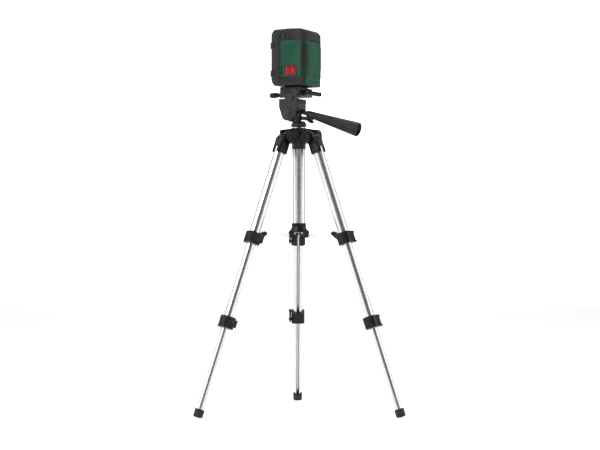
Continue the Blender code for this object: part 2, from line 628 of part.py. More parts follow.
def spreader(base):
    """The hub on the guide tube and its three arms, which reach the upper clamps."""
    low = HUB_PIVOT_HEIGHT + ARM_HEIGHT / 2 + 1.2 * MM
    skirt = low + HUB_SKIRT_HEIGHT
    top = low + HUB_HEIGHT
    frame = empty("hub", base)
    profile = [(GUIDE_TUBE_RADIUS + RUN, top), (HUB_COLLAR_RADIUS, top), (HUB_COLLAR_RADIUS, skirt)]
    profile += [(HUB_SKIRT_RADIUS, low + 1.5 * MM), (HUB_SKIRT_RADIUS, low), (GUIDE_TUBE_RADIUS + RUN, low)]
    hub = solid("spreader_hub", turned(profile[::-1], 24, ring=True), frame, "black_plastic")
    half = ARM_THICKNESS / 2 + GAP
    lug = rounded(
        (GUIDE_TUBE_RADIUS + 0.6 * MM, HUB_PIVOT_HEIGHT - 3.8 * MM), (HUB_PIVOT_RADIUS + 3.4 * MM, low + 2 * MM), 1.2 * MM
    )
    reach_r = math.hypot(ARM_END_X, ARM_END_DOWN)
    turn = math.atan2(ARM_END_X, -ARM_END_DOWN) - math.radians(LEG_TILT)
    outer_radius = HINGE_RADIUS + reach_r * math.sin(turn)
    outer_height = HINGE_HEIGHT + reach_r * math.cos(turn)
    rise = math.atan2(outer_height - HUB_PIVOT_HEIGHT, outer_radius - HUB_PIVOT_RADIUS)
    length = math.hypot(outer_height - HUB_PIVOT_HEIGHT, outer_radius - HUB_PIVOT_RADIUS)
    for side, azimuth in LEG_AZIMUTHS.items():
        for hand in (1, -1):
            cheek = prism(lug, hand * half, hand * (half + LUG_THICKNESS), "y")
            add(hub, cheek, turn=(0, 0, azimuth))
        mount = empty(f"spreader_{side}", frame, turn=(0, 0, azimuth))
        turn_y = -math.degrees(rise)
        arm = empty(f"arm_{side}", mount, (HUB_PIVOT_RADIUS, 0, HUB_PIVOT_HEIGHT), (0, turn_y, 0))
        bar = hull_outline(((0, 0, ARM_HEIGHT / 2), (length, 0, ARM_HEIGHT / 2)), 8)
        solid(f"spreader_arm_{side}", prism(bar, -ARM_THICKNESS / 2, ARM_THICKNESS / 2, "y"), arm, "aluminium")


def pan_base(column_frame):
    frame = empty("pan", column_frame, (0, 0, PAN_BASE_BOTTOM), (0, 0, HEAD_YAW))
    height = PAN_BASE_TOP - PAN_BASE_BOTTOM
    profile = [(0, height), (PAN_BASE_TOP_RADIUS, height), (PAN_BASE_RADIUS, 3.4 * MM)]
    profile += [(PAN_BASE_RADIUS, 0.6 * MM), (PAN_BASE_RADIUS - 0.6 * MM, 0), (0, 0)]
    turret = solid("pan_base", turned(profile, 24), frame, "grey_plastic")
    pivot = (TILT_FORWARD, TILT_HEIGHT - PAN_BASE_BOTTOM)
    neck = arc(pivot, TILT_KNUCKLE_RADIUS, -40, 165, 14)
    neck += [(-2.0 * MM, height - MM), (8.5 * MM, height - MM)]
    add(turret, prism(neck, *TILT_KNUCKLE_SIDES, "y"))
    level = PAN_KNOB_HEIGHT - PAN_BASE_BOTTOM
    turn = (0, 90, PAN_KNOB_AZIMUTH)
    boss = rod(PAN_BOSS_RADIUS, 3 * MM, PAN_KNOB_START - GAP, 16)
    add(turret, boss, location=(0, 0, level), turn=turn)
    cut(turret, rod(PAN_SCREW_RADIUS + RUN, 7 * MM, PAN_KNOB_START + MM, 14), location=(0, 0, level), turn=turn)
    cut(turret, rod(PAN_STUD_RADIUS + RUN, -MM, PAN_STUD_HEIGHT + GAP, 24))
    bolt_hole = circle(TILT_BOLT_RADIUS + RUN, 20, pivot)
    bolt = prism(bolt_hole, 3 * TILT_KNUCKLE_SIDES[0], 3 * TILT_KNUCKLE_SIDES[1], "y")
    cut(turret, bolt)
    knob_frame = empty("pan_lock_axis", frame, (0, 0, level), turn)
    end = PAN_KNOB_START + PAN_KNOB_LENGTH
    barrel = rod(PAN_KNOB_HUB_RADIUS, PAN_KNOB_START, end, 18, 0.6 * MM)
    knob = solid("pan_lock_knob", barrel, knob_frame, "black_plastic")
    reach = PAN_KNOB_WING_REACH
    wing = [(-3 * MM, PAN_KNOB_START + 0.8 * MM), (3 * MM, PAN_KNOB_START + 0.8 * MM), (reach, end - 4 * MM)]
    wing += [(reach, end + 1.4 * MM), (reach - 2.4 * MM, end + 1.4 * MM), (2.2 * MM, end - 2 * MM)]
    wing += [(-2.2 * MM, end - 2 * MM), (2.4 * MM - reach, end + 1.4 * MM), (-reach, end + 1.4 * MM)]
    wing += [(-reach, end - 4 * MM)]
    add(knob, prism(wing, -1.3 * MM, 1.3 * MM, "y"))
    add(knob, rod(PAN_SCREW_RADIUS, 7.5 * MM, PAN_KNOB_START + MM, 14))
    return frame


BRACKET_FACE = FLIP_SIDE - 1.4 * MM
BRACKET_FAR = TILT_KNUCKLE_SIDES[0] - GAP - BRACKET_PLATE


def tilt_bracket(pan_frame):
    """Two plates over the pan base's knuckle, a deck that joins them, and the handle's socket."""
    place = (TILT_FORWARD, 0, TILT_HEIGHT - PAN_BASE_BOTTOM)
    frame = empty("tilt", pan_frame, place)
    front = BRACKET_FRONT - TILT_FORWARD
    rear = BRACKET_REAR - TILT_FORWARD
    top = BRACKET_TOP - TILT_HEIGHT
    plate = arc((0, 0), BRACKET_ROUND, 180, 335, 12)
    plate += [(front, 11.0 * MM), (front, top), (rear, top), (rear, 11.0 * MM)]
    near = TILT_KNUCKLE_SIDES[1] + GAP
    shape = prism(plate, near, BRACKET_FACE, "y")
    bracket = solid("tilt_bracket", shape, frame, "grey_plastic")
    reach = BRACKET_FAR_REACH
    far_plate = arc((0, 0), BRACKET_FAR_ROUND, 180, 360, 12)
    far_plate += [(reach, 11.0 * MM), (reach, top - MM), (-reach, top - MM), (-reach, 11.0 * MM)]
    add(bracket, prism(far_plate, BRACKET_FAR, TILT_KNUCKLE_SIDES[0] - GAP, "y"))
    deck_low = (rear + 0.2 * MM, BRACKET_FAR + 0.3 * MM, top - BRACKET_DECK_THICKNESS)
    deck = box(deck_low, (front - 0.2 * MM, BRACKET_FACE - 0.3 * MM, top - 0.2 * MM))
    add(bracket, deck)
    wall_low = 5.0 * MM
    wall = box((rear + 0.5 * MM, BRACKET_FAR + MM, wall_low), (rear + 6.2 * MM, BRACKET_FACE - MM, top - 2 * MM))
    add(bracket, wall)
    low, high = FLIP_KNUCKLE
    flip = (FLIP_SIDE, FLIP_HEIGHT - TILT_HEIGHT)
    knuckle = arc(flip, FLIP_KNUCKLE_RADIUS, -60, 200, 14)
    knuckle += [(FLIP_SIDE - 8 * MM, top - 4.0 * MM), (FLIP_SIDE - 1.6 * MM, top - 6.0 * MM)]
    add(bracket, prism(knuckle, low - TILT_FORWARD, high - TILT_FORWARD, "x"))
    hole = prism(circle(FLIP_PIN_RADIUS + RUN, 14, flip), 4 * rear, 4 * front, "x")
    cut(bracket, hole)
    bolt = prism(circle(TILT_BOLT_RADIUS + RUN, 20), 4 * BRACKET_FAR, 4 * BRACKET_FACE, "y")
    cut(bracket, bolt)
    start = (HANDLE_FRONT[0] - TILT_FORWARD, HANDLE_SIDE, HANDLE_FRONT[1] - TILT_HEIGHT)
    turn = (0, -90 - HANDLE_DROP, 0)
    cut(bracket, rod(STEM_RADIUS + RUN, -8 * MM, 40 * MM, 20), location=start, turn=turn)
    cover = TILT_COVER_RADIUS
    outside = BRACKET_FACE + GAP
    far = BRACKET_FAR - GAP
    thick = TILT_COVER_THICKNESS
    profile = [(0, outside + thick), (cover - 0.5 * MM, outside + thick), (cover, outside + thick - 0.5 * MM)]
    profile += [(cover, outside), (TILT_BOLT_RADIUS, outside), (TILT_BOLT_RADIUS, far), (cover, far)]
    profile += [(cover, far - thick + 0.5 * MM), (cover - 0.5 * MM, far - thick), (0, far - thick)]
    solid("tilt_bolt", turned(profile, 24), frame, "grey_plastic", turn=(-90, 0, 0))
    handle = empty("handle", frame, start, turn)
    grip_start = HANDLE_LENGTH - GRIP_LENGTH
    solid("handle_stem", rod(STEM_RADIUS, 0, grip_start + 20 * MM, 20, 0.4 * MM), handle, "grey_plastic")
    slope = (GRIP_RADIUS - GRIP_START_RADIUS) / GRIP_LENGTH
    hollow = HANDLE_LENGTH - GRIP_HOLLOW_DEPTH
    profile = [(0, hollow), (GRIP_RADIUS - 2.4 * MM, hollow)]
    profile += [(GRIP_RADIUS - 1.6 * MM, HANDLE_LENGTH), (GRIP_RADIUS - 0.5 * MM, HANDLE_LENGTH)]
    profile += [(GRIP_RADIUS, HANDLE_LENGTH - MM), (GRIP_RADIUS, HANDLE_LENGTH - 7 * MM)]
    profile += [(GRIP_RADIUS - slope * 45 * MM, HANDLE_LENGTH - 45 * MM)]
    profile += [(GRIP_START_RADIUS, grip_start + MM), (GRIP_START_RADIUS - 0.8 * MM, grip_start), (0, grip_start)]
    grip = solid("handle_grip", turned(profile, 20), handle, "black_plastic")
    cut(grip, rod(STEM_RADIUS + GAP, grip_start - MM, grip_start + 20 * MM + GAP, 20))
    return frame


def platform(tilt_frame):
    """The platform that flips to the side on a hinge along its edge, and its lock knob."""
    place = (-TILT_FORWARD, FLIP_SIDE, FLIP_HEIGHT - TILT_HEIGHT)
    frame = empty("flip", tilt_frame, place)
    lift = -FLIP_HEIGHT
    rear = PLATFORM_MIDDLE - PLATFORM_LENGTH / 2
    front = PLATFORM_MIDDLE + PLATFORM_LENGTH / 2
    half = PLATFORM_WIDTH / 2
    low = PLATFORM_BOTTOM + lift
    high = PLATFORM_TOP + lift
    outline = rounded((rear, -half - FLIP_SIDE), (front, half - FLIP_SIDE), 2.0 * MM)
    table = solid("flip_platform", prism(outline, low, high), frame, "grey_plastic")
    barrel = prism(circle(FLIP_KNUCKLE_RADIUS, 20), rear + 0.1 * MM, front - 0.1 * MM, "x")
    add(table, barrel)
    room = FLIP_KNUCKLE_RADIUS + 0.6 * MM
    space = prism(circle(room, 20), FLIP_KNUCKLE[0] - 0.4 * MM, FLIP_KNUCKLE[1] + 0.4 * MM, "x")
    cut(table, space)
    swing = box(
        (FLIP_KNUCKLE[0] - 0.4 * MM, -room + 0.05 * MM, low - room),
        (FLIP_KNUCKLE[1] + 0.4 * MM, 2 * room, 0.3 * MM),
    )
    cut(table, swing)
    cut(table, prism(circle(FLIP_PIN_RADIUS + RUN, 14), rear - 2 * MM, front + 2 * MM, "x"))
    wide = PLATE_WIDTH / 2 + 0.4 * MM
    long = PLATE_LENGTH / 2 + 0.4 * MM
    floor = low + PLATFORM_FLOOR
    pocket_low = (PLATFORM_MIDDLE - long, -wide - FLIP_SIDE, floor)
    pocket = box(pocket_low, (PLATFORM_MIDDLE + long, wide - FLIP_SIDE, high + MM))
    cut(table, pocket)
    cut(table, rod(SCREW_HEAD_RADIUS + MM, low + MM, floor + MM, 24), location=(PLATFORM_MIDDLE, -FLIP_SIDE, 0))
    pivot = (RELEASE_PIVOT[0], RELEASE_PIVOT[1] - FLIP_SIDE)
    shelf = box(
        (pivot[0] - 3.4 * MM, pivot[1] - 3.4 * MM, low + 0.1 * MM),
        (rear + MM, pivot[1] + 3.4 * MM, low + 1.8 * MM),
    )
    add(table, shelf)
    add(table, rod(RELEASE_PIN_RADIUS, low + MM, high - 3.6 * MM, 14), location=(*pivot, 0))
    knob_frame = empty("side_lock_axis", frame, turn=(0, 90, 0))
    start = front + GAP
    end = start + SIDE_KNOB_LENGTH
    reach = SIDE_KNOB_RADIUS
    profile = [(0, end), (reach - 1.6 * MM, end), (reach, end - 2.2 * MM), (reach, start + 6 * MM)]
    profile += [(reach - MM, start + 5 * MM), (reach - MM, start), (FLIP_PIN_RADIUS, start)]
    profile += [(FLIP_PIN_RADIUS, rear + MM), (0, rear + MM)]
    solid("side_lock_knob", turned(profile, 20), knob_frame, "black_plastic")
    release = empty("release", frame, (*pivot, low + 2.1 * MM))
    height = high - low - 6.2 * MM
    lever = solid("release_lever", rod(RELEASE_HUB_RADIUS, 0, height, 20), release, "black_plastic")
    thick = RELEASE_THICKNESS / 2
    arm = [(-thick, -RELEASE_LENGTH + 6 * MM), (-thick - 3 * MM, -RELEASE_LENGTH), (-thick, -RELEASE_LENGTH - MM)]
    arm += [(thick - 0.3 * MM, -RELEASE_LENGTH + 3 * MM), (thick, 0), (-thick, 0)]
    add(lever, prism(arm, 0.2 * MM, height - 0.2 * MM))
    cut(lever, rod(RELEASE_PIN_RADIUS + RUN, -MM, height + MM, 14))
    return frame


def quick_plate(flip_frame):
    """The plate that drops into the platform, its screw, and the rubber pad on top."""
    low = PLATFORM_BOTTOM + PLATFORM_FLOOR + GAP
    frame = empty("plate", flip_frame, (PLATFORM_MIDDLE, -FLIP_SIDE, low - FLIP_HEIGHT))
    long = PLATE_LENGTH / 2
    wide = PLATE_WIDTH / 2
    top = PLATE_TOP - low
    slab = prism(rounded((-long, -wide), (long, wide), 1.5 * MM), 0, top)
    plate = solid("quick_plate", slab, frame, "grey_plastic")
    inset = PAD_INSET
    pad = rounded((inset - long, inset - wide), (long - inset, wide - inset), 2.5 * MM)
    add(plate, prism(pad, top - MM, LASER_BOTTOM - low - GAP))
    cut(plate, rod(SCREW_RADIUS + RUN, -MM, top + 5 * MM, 20))
    cut(plate, rod(SCREW_HEAD_RADIUS + 0.5 * MM, -MM, 2.2 * MM, 24))
    tip = SCREW_TOP - low
    head = [(0, tip), (SCREW_RADIUS - 0.6 * MM, tip), (SCREW_RADIUS, tip - 0.8 * MM)]
    head += [(SCREW_RADIUS, 1.8 * MM), (SCREW_HEAD_RADIUS, 1.8 * MM), (SCREW_HEAD_RADIUS, 0.2 * MM), (0, 0.2 * MM)]
    screw = empty("screw", frame)
    bolt = solid("plate_screw", turned(head, 24), screw, "steel")
    cut(bolt, box((-6 * MM, -0.8 * MM, -MM), (6 * MM, 0.8 * MM, 1.0 * MM)))
    return frame


def laser_form(name, inset, parent, material=None):
    """The level's outer form, drawn in by inset: a rounded plan cut by its chamfered side view."""
    long = LASER_LENGTH / 2 - inset
    wide = LASER_WIDTH / 2 - inset
    low = LASER_BOTTOM + inset - PLATFORM_TOP
    high = LASER_TOP - inset - PLATFORM_TOP
    outline = rounded((-long, -wide), (long, wide), LASER_CORNER - inset, 6)
    form = solid(name, prism(outline, low, high), parent, material)
    top_x, top_z = LASER_TOP_CHAMFER
    foot_x, foot_z = LASER_FOOT_CHAMFER
    crown = 0.9 * MM
    side = [(long, low + foot_z), (long, high - top_z), (long - top_x, high - crown), (0, high)]
    side += [(top_x - long, high - crown), (-long, high - top_z), (-long, low), (long - foot_x, low)]
    keep(form, prism(side, -2 * wide, 2 * wide, "y"))
    return form


def laser(plate_frame):
    """The level itself: rubber jacket, green housing, switch, window, door and what they hold."""
    low = PLATFORM_BOTTOM + PLATFORM_FLOOR + GAP
    frame = empty("laser", plate_frame, (LASER_MIDDLE - PLATFORM_MIDDLE, 0, PLATFORM_TOP - low))
    shift = -LASER_MIDDLE
    lift = -PLATFORM_TOP
    wide = LASER_WIDTH

    jacket = laser_form("laser_jacket", 0.0, frame, "rubber")
    core = laser_form("jacket_core", JACKET_WALL, frame)
    front = LASER_LENGTH / 2
    for i, height in enumerate(BUMP_HEIGHTS):
        low_edge = height - BUMP_HEIGHT / 2 + lift
        band = laser_form(f"jacket_bumper_{i}", -BUMP_REACH, frame)
        keep(band, box((front - BUMP_WRAP, -wide, low_edge), (wide, wide, low_edge + BUMP_HEIGHT)))
        boolean(jacket, "UNION", band)
    boolean(jacket, "DIFFERENCE", core)
    rear = -LASER_LENGTH
    edge = REAR_PANEL_EDGE + shift
    panel = [(PANEL_FRONT + shift, PANEL_BOTTOM + lift), (PANEL_FRONT + shift, PANEL_TOP + lift)]
    panel += [(rear, PANEL_TOP + lift), (rear, -0.05), (edge, -0.05), (edge, PANEL_BOTTOM + lift)]
    cut(jacket, prism(panel, -wide, wide, "y"))
    wall = JACKET_WALL + 2 * MM
    window = box(
        (front - 2 * wall, -WINDOW_WIDTH / 2 - 2 * MM, WINDOW_BOTTOM + lift - 2 * MM),
        (front + wall, WINDOW_WIDTH / 2 + 2 * MM, WINDOW_TOP + lift + 2 * MM),
    )
    cut(jacket, window)
    cut(jacket, rod(INSERT_RADIUS + 2 * MM, LASER_BOTTOM + lift - MM, LASER_BOTTOM + lift + 3 * MM, 24))
    button_x = BUTTON_FORWARD + shift
    long_half = BUTTON_SIZE[0] / 2 + GAP
    wide_half = BUTTON_SIZE[1] / 2 + GAP
    well = rounded((button_x - long_half, -wide_half), (button_x + long_half, wide_half), 2.6 * MM)
    cut(jacket, prism(well, CHAMBER_TOP + lift, LASER_TOP + lift + MM))
    for hand in (1, -1):
        for i in range(3):
            x = NOTCH_FIRST + shift - i * NOTCH_PITCH
            inner = hand * (LASER_WIDTH / 2 - NOTCH_DEPTH)
            outer = hand * wide
            notch = box(
                (x - NOTCH_WIDTH / 2, min(inner, outer), NOTCH_BOTTOM + lift),
                (x + NOTCH_WIDTH / 2, max(inner, outer), NOTCH_BOTTOM + NOTCH_HEIGHT + lift),
            )
            cut(jacket, notch)
    housing = laser_form("laser_housing", JACKET_WALL + GAP, frame, "green_plastic")
    proud = laser_form("housing_panels", PANEL_SET_BACK, frame)
    zone = [
        (PANEL_FRONT + shift - GAP, PANEL_BOTTOM + lift + GAP),
        (PANEL_FRONT + shift - GAP, PANEL_TOP + lift - GAP),
        (rear, PANEL_TOP + lift - GAP),
        (rear, -0.05),
        (edge - GAP, -0.05),
        (edge - GAP, PANEL_BOTTOM + lift + GAP),
    ]
    keep(proud, prism(zone, -wide, wide, "y"))
    boolean(housing, "UNION", proud)
    cut(housing, laser_box(CHAMBER_REAR, CHAMBER_FRONT, CHAMBER_HALF_WIDTH, CHAMBER_BOTTOM, CHAMBER_TOP))
    glass_low = WINDOW_BOTTOM - GAP
    glass_high = WINDOW_TOP + GAP
    pane = WINDOW_WIDTH / 2 - WINDOW_REST
    sill = WINDOW_BOTTOM + WINDOW_REST
    cut(housing, laser_box(CHAMBER_FRONT - MM, LASER_LENGTH, pane, sill, WINDOW_TOP - WINDOW_REST))
    glass_front = front - JACKET_WALL - GAP + LASER_MIDDLE
    glass_rear = glass_front - WINDOW_THICKNESS
    cut(housing, laser_box(glass_rear - GAP, LASER_LENGTH, WINDOW_WIDTH / 2 + GAP, glass_low, glass_high))
    cut(housing, laser_box(-LASER_LENGTH, BAY_FRONT, BAY_HALF_WIDTH, DOOR_BOTTOM - GAP, DOOR_TOP + GAP))
    cut(housing, prism(well, CHAMBER_TOP + lift - MM, LASER_TOP + lift + MM))
    cut(housing, rod(INSERT_RADIUS + GAP, 0, LASER_BOTTOM + lift + INSERT_HEIGHT + 1.2 * MM, 24))
    half = SWITCH_LENGTH / 2 + 0.6 * MM
    side = LASER_WIDTH / 2
    tall = SWITCH_HEIGHT / 2 + 0.6 * MM
    recess = box(
        (SWITCH_MIDDLE + shift - half, side - SWITCH_RECESS_DEPTH, SWITCH_LEVEL + lift - tall),
        (SWITCH_MIDDLE + shift + half + SWITCH_TRAVEL, wide, SWITCH_LEVEL + lift + tall),
    )
    cut(housing, recess)
    stem = 2.6 * MM
    slot = box(
        (SWITCH_MIDDLE + shift - stem - RUN, CHAMBER_HALF_WIDTH - MM, SWITCH_LEVEL + lift - stem - RUN),
        (SWITCH_MIDDLE + shift + stem + RUN + SWITCH_TRAVEL, side, SWITCH_LEVEL + lift + stem + RUN),
    )
    cut(housing, slot)

    glass = laser_box(glass_rear, glass_front, WINDOW_WIDTH / 2, WINDOW_BOTTOM, WINDOW_TOP)
    solid("front_window", glass, frame, "glass")

    sliding = empty("switch", frame)
    half = SWITCH_LENGTH / 2
    x = SWITCH_MIDDLE + shift
    z = SWITCH_LEVEL + lift
    inner = side - SWITCH_RECESS_DEPTH + GAP
    face = side + 0.4 * MM
    outline = [(x - half, inner), (x + half, inner), (x + half, face - MM), (x + half - MM, face)]
    outline += [(x + SWITCH_GROOVE, face), (x, face - 1.6 * MM), (x - SWITCH_GROOVE, face)]
    outline += [(x - half + MM, face), (x - half, face - MM)]
    slide = solid("power_switch", prism(outline, z - SWITCH_HEIGHT / 2, z + SWITCH_HEIGHT / 2), sliding, "red_plastic")
    add(slide, box((x - stem, CHAMBER_HALF_WIDTH - MM, z - stem), (x + stem, inner + MM, z + stem)))

    pressing = empty("button", frame)
    long_half = BUTTON_SIZE[0] / 2
    wide_half = BUTTON_SIZE[1] / 2
    cap = rounded((button_x - long_half, -wide_half), (button_x + long_half, wide_half), 2.3 * MM)
    button = prism(cap, CHAMBER_TOP + lift + 0.4 * MM, LASER_TOP + lift - 0.1 * MM + BUTTON_PROUD)
    solid("mode_button", button, pressing, "grey_plastic")

    outer = LASER_MIDDLE - LASER_LENGTH / 2 + PANEL_SET_BACK
    hinge = (outer + shift, 0, DOOR_TOP + lift)
    door = empty("battery_door", frame, hinge)
    height = DOOR_TOP - DOOR_BOTTOM
    flap = box((0, -BAY_HALF_WIDTH + GAP, -height), (DOOR_THICKNESS, BAY_HALF_WIDTH - GAP, 0))
    solid("battery_cover", flap, door, "green_plastic")
    for side_name, hand in (("left", 1), ("right", -1)):
        cell = rod(BATTERY_RADIUS, 0, BATTERY_LENGTH, 24, 0.8 * MM)
        spot = (BATTERY_FORWARD + shift, hand * (BATTERY_RADIUS + GAP), BATTERY_BOTTOM + lift)
        solid(f"battery_{side_name}", cell, frame, "battery", spot)

    bore = SCREW_RADIUS + RUN
    ring = [(INSERT_RADIUS, INSERT_HEIGHT), (INSERT_RADIUS, 0), (bore, 0), (bore, INSERT_HEIGHT)]
    insert = turned(ring, 24, ring=True)
    solid("thread_insert", insert, frame, "brass", (PLATFORM_MIDDLE + shift, 0, LASER_BOTTOM + lift + 0.4 * MM))
    pendulum(housing, frame, shift, lift)
    return frame


def laser_box(rear, front, half_width, low, high):
    """A box in the level's frame, from places in the head's frame."""
    return box(
        (rear - LASER_MIDDLE, -half_width, low - PLATFORM_TOP),
        (front - LASER_MIDDLE, half_width, high - PLATFORM_TOP),
    )


def pendulum(housing, frame, shift, lift):
    """Two posts under the chamber's roof, a ring that tips between them, and its pendulum."""
    x = GIMBAL_FORWARD + shift
    z = GIMBAL_LEVEL + lift
    half = GIMBAL_THICKNESS / 2
    reach = GIMBAL_RADIUS + 2.6 * MM
    outside = GIMBAL_RADIUS + 0.8 * MM
    top = CHAMBER_TOP + lift + MM
    for low, high in ((x - reach - 1.2 * MM, x - outside), (x + outside, x + reach + 1.2 * MM)):
        add(housing, box((low, -4 * MM, z - 3 * MM), (high, 4 * MM, top)))
    hole = prism(circle(GIMBAL_PIN_RADIUS + RUN, 12, (0, z)), x - reach - 2 * MM, x + reach + 2 * MM, "x")
    cut(housing, hole)
    tip = empty("gimbal", frame, (x, 0, z))
    inner = GIMBAL_RADIUS - GIMBAL_WALL
    loop = [(GIMBAL_RADIUS, half), (GIMBAL_RADIUS, -half), (inner, -half), (inner, half)]
    ring = solid("gimbal_ring", turned(loop, 28, ring=True), tip, "steel")
    add(ring, prism(circle(GIMBAL_PIN_RADIUS, 12), inner + MM, reach, "x"))
    add(ring, prism(circle(GIMBAL_PIN_RADIUS, 12), -reach, -inner - MM, "x"))
    cut(ring, prism(circle(GIMBAL_PIN_RADIUS + RUN, 12), -2 * reach, 2 * reach, "y"))
    swing = empty("pendulum_axis", tip)
    bar = prism(rounded((-4 * MM, -4 * MM), (4 * MM, 4 * MM), MM), -PENDULUM_LENGTH, 3 * MM)
    body = solid("pendulum", bar, swing, "brass")
    add(body, prism(circle(GIMBAL_PIN_RADIUS, 12), 0.6 * MM - GIMBAL_RADIUS, GIMBAL_RADIUS - 0.6 * MM, "y"))
    add(body, prism(circle(4.4 * MM, 20, (0, -15 * MM)), -9 * MM, 11 * MM, "x"))
    add(body, rod(8 * MM, -PENDULUM_LENGTH - 4 * MM, -PENDULUM_LENGTH + 5 * MM, 24, MM))


def centre_on_floor(base):
    """Moves everything so that the origin is under the middle of the object's box."""
    bpy.context.view_layer.update()
    graph = bpy.context.evaluated_depsgraph_get()
    corners = []
    for item in bpy.data.objects:
        if item.type == "MESH" and not item.hide_render:
            ready = item.evaluated_get(graph)
            corners += [ready.matrix_world @ vertex.co for vertex in ready.data.vertices]
    middle = [(min(c[i] for c in corners) + max(c[i] for c in corners)) / 2 for i in (0, 1)]
    floor = min(c[2] for c in corners)
    base.location = (-middle[0], -middle[1], -floor)


def main():
    for item in list(bpy.data.objects):
        bpy.data.objects.remove(item, do_unlink=True)
    base = empty("base", None)
    for side, azimuth in LEG_AZIMUTHS.items():
        leg(side, azimuth, base)
    shoulder(base)
    column_frame = centre(base)
    spreader(base)
    pan_frame = pan_base(column_frame)
    tilt_frame = tilt_bracket(pan_frame)
    flip_frame = platform(tilt_frame)
    plate_frame = quick_plate(flip_frame)
    laser(plate_frame)
    centre_on_floor(base)


main()
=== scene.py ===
# %% [markdown]
# # A laser level on its folding tripod
#
# A small cross-line laser level stands on a light aluminium tripod. The measured frame
# comes from the CAD model: it says where each piece is and what it turns on. This script
# dresses that frame. Turned and drawn pieces are worked out afresh as surfaces of two
# parameters, moulded pieces keep their CAD form with softened edges, and every piece gets
# a material with grain, wear and dust at its real size.

# %% Imports and the frame
import json

import bmesh
import bpy
import numpy as np
from mathutils import Matrix, Vector


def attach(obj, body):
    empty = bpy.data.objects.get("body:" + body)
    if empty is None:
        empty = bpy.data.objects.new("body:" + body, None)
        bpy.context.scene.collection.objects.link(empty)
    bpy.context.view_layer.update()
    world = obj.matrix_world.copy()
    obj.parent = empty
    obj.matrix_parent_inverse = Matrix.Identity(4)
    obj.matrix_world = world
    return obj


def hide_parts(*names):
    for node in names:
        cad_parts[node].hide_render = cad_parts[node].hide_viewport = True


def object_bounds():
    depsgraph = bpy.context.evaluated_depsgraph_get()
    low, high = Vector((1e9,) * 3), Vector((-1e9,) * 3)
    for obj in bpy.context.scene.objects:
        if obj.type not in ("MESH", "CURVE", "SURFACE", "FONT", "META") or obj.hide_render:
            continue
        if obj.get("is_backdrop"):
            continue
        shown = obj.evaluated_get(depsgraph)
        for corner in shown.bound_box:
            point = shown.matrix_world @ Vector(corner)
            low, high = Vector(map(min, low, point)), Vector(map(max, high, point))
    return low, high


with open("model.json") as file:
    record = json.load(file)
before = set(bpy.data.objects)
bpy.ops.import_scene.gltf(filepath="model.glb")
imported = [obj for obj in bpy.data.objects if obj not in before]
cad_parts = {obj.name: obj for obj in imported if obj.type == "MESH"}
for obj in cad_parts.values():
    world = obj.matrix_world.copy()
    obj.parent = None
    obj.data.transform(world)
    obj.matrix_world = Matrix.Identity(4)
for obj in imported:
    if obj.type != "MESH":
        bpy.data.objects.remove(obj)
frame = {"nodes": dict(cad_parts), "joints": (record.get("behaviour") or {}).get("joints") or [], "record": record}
cad_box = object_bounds()
MM = 0.001
SIDES = ("rear", "left", "right")
joints = {joint["name"]: joint for joint in frame["joints"]}
slots = {part["node"]: part["material_slot"] for part in frame["record"]["subparts"]}

# %% [markdown]
# ## Places to work in
#
# Each piece is easiest to describe in the directions of the body that it belongs to: a leg
# tube runs along its leg, and the level faces the way its switch slides. The joints already
# hold those directions, so the working frames are read from them and not typed in again.
# A frame is a 4 × 4 matrix whose columns are its x, y and z directions and its origin.


# %% Working frames
def frame_of(origin, forward, upward):
    """x is forward made square to upward, y is upward × x, z is upward."""
    z = Vector(upward).normalized()
    x = Vector(forward)
    x = (x - x.dot(z) * z).normalized()
    turned = Matrix((x, z.cross(x), z)).transposed().to_4x4()
    return Matrix.Translation(Vector(origin)) @ turned


def leg_frame(side):
    """z runs up the leg, y is the hinge's axis and x points away from the column."""
    hinge = joints[f"leg_fold_{side}"]
    along = Vector(joints[f"middle_section_{side}_slide"]["axis"])
    return frame_of(hinge["pos_m"], Vector(hinge["axis"]).cross(along), along)


def pin_frame(name, forward=(0, 0, 1)):
    """z is the joint's axis, from its pivot."""
    joint = joints[name]
    return frame_of(joint["pos_m"], forward, joint["axis"])


column = Vector(joints["pan_turn"]["pos_m"])
HEAD = frame_of((column.x, column.y, 0), joints["switch_slide"]["axis"], (0, 0, 1))
LEGS = {side: leg_frame(side) for side in SIDES}
print("column stands at", [round(value, 4) for value in column])

# %% [markdown]
# ## Materials
#
# A material here is a small calculation on surface position. Writing it with nodes by hand
# hides the sum, so one class wraps a node's output and lets Python's own signs make the Math
# nodes. Each piece carries a UV map in metres, so a grain of 0.3 mm is 0.3 mm everywhere.


# %% A number in a node tree
class Value:
    """One number that varies over a surface. Its operators add Math nodes to the tree."""

    def __init__(self, tree, socket):
        self.tree = tree
        self.socket = socket

    def math(self, operation, first, second):
        node = self.tree.nodes.new("ShaderNodeMath")
        node.operation = operation
        for socket, value in zip(node.inputs, (first, second)):
            if isinstance(value, Value):
                self.tree.links.new(value.socket, socket)
            else:
                socket.default_value = value
        return Value(self.tree, node.outputs[0])

    def __add__(self, other):
        return self.math("ADD", self, other)

    def __sub__(self, other):
        return self.math("SUBTRACT", self, other)

    def __mul__(self, other):
        return self.math("MULTIPLY", self, other)

    def __truediv__(self, other):
        return self.math("DIVIDE", self, other)

    __radd__ = __add__

    def above(self, level, softness):
        """0 below the level, 1 above it, over a band of this softness."""
        ramp = (self - level) / softness + 0.5
        return ramp.math("MINIMUM", ramp.math("MAXIMUM", ramp, 0.0), 1.0)


# %% A material's tree
SHEEN = 0.25


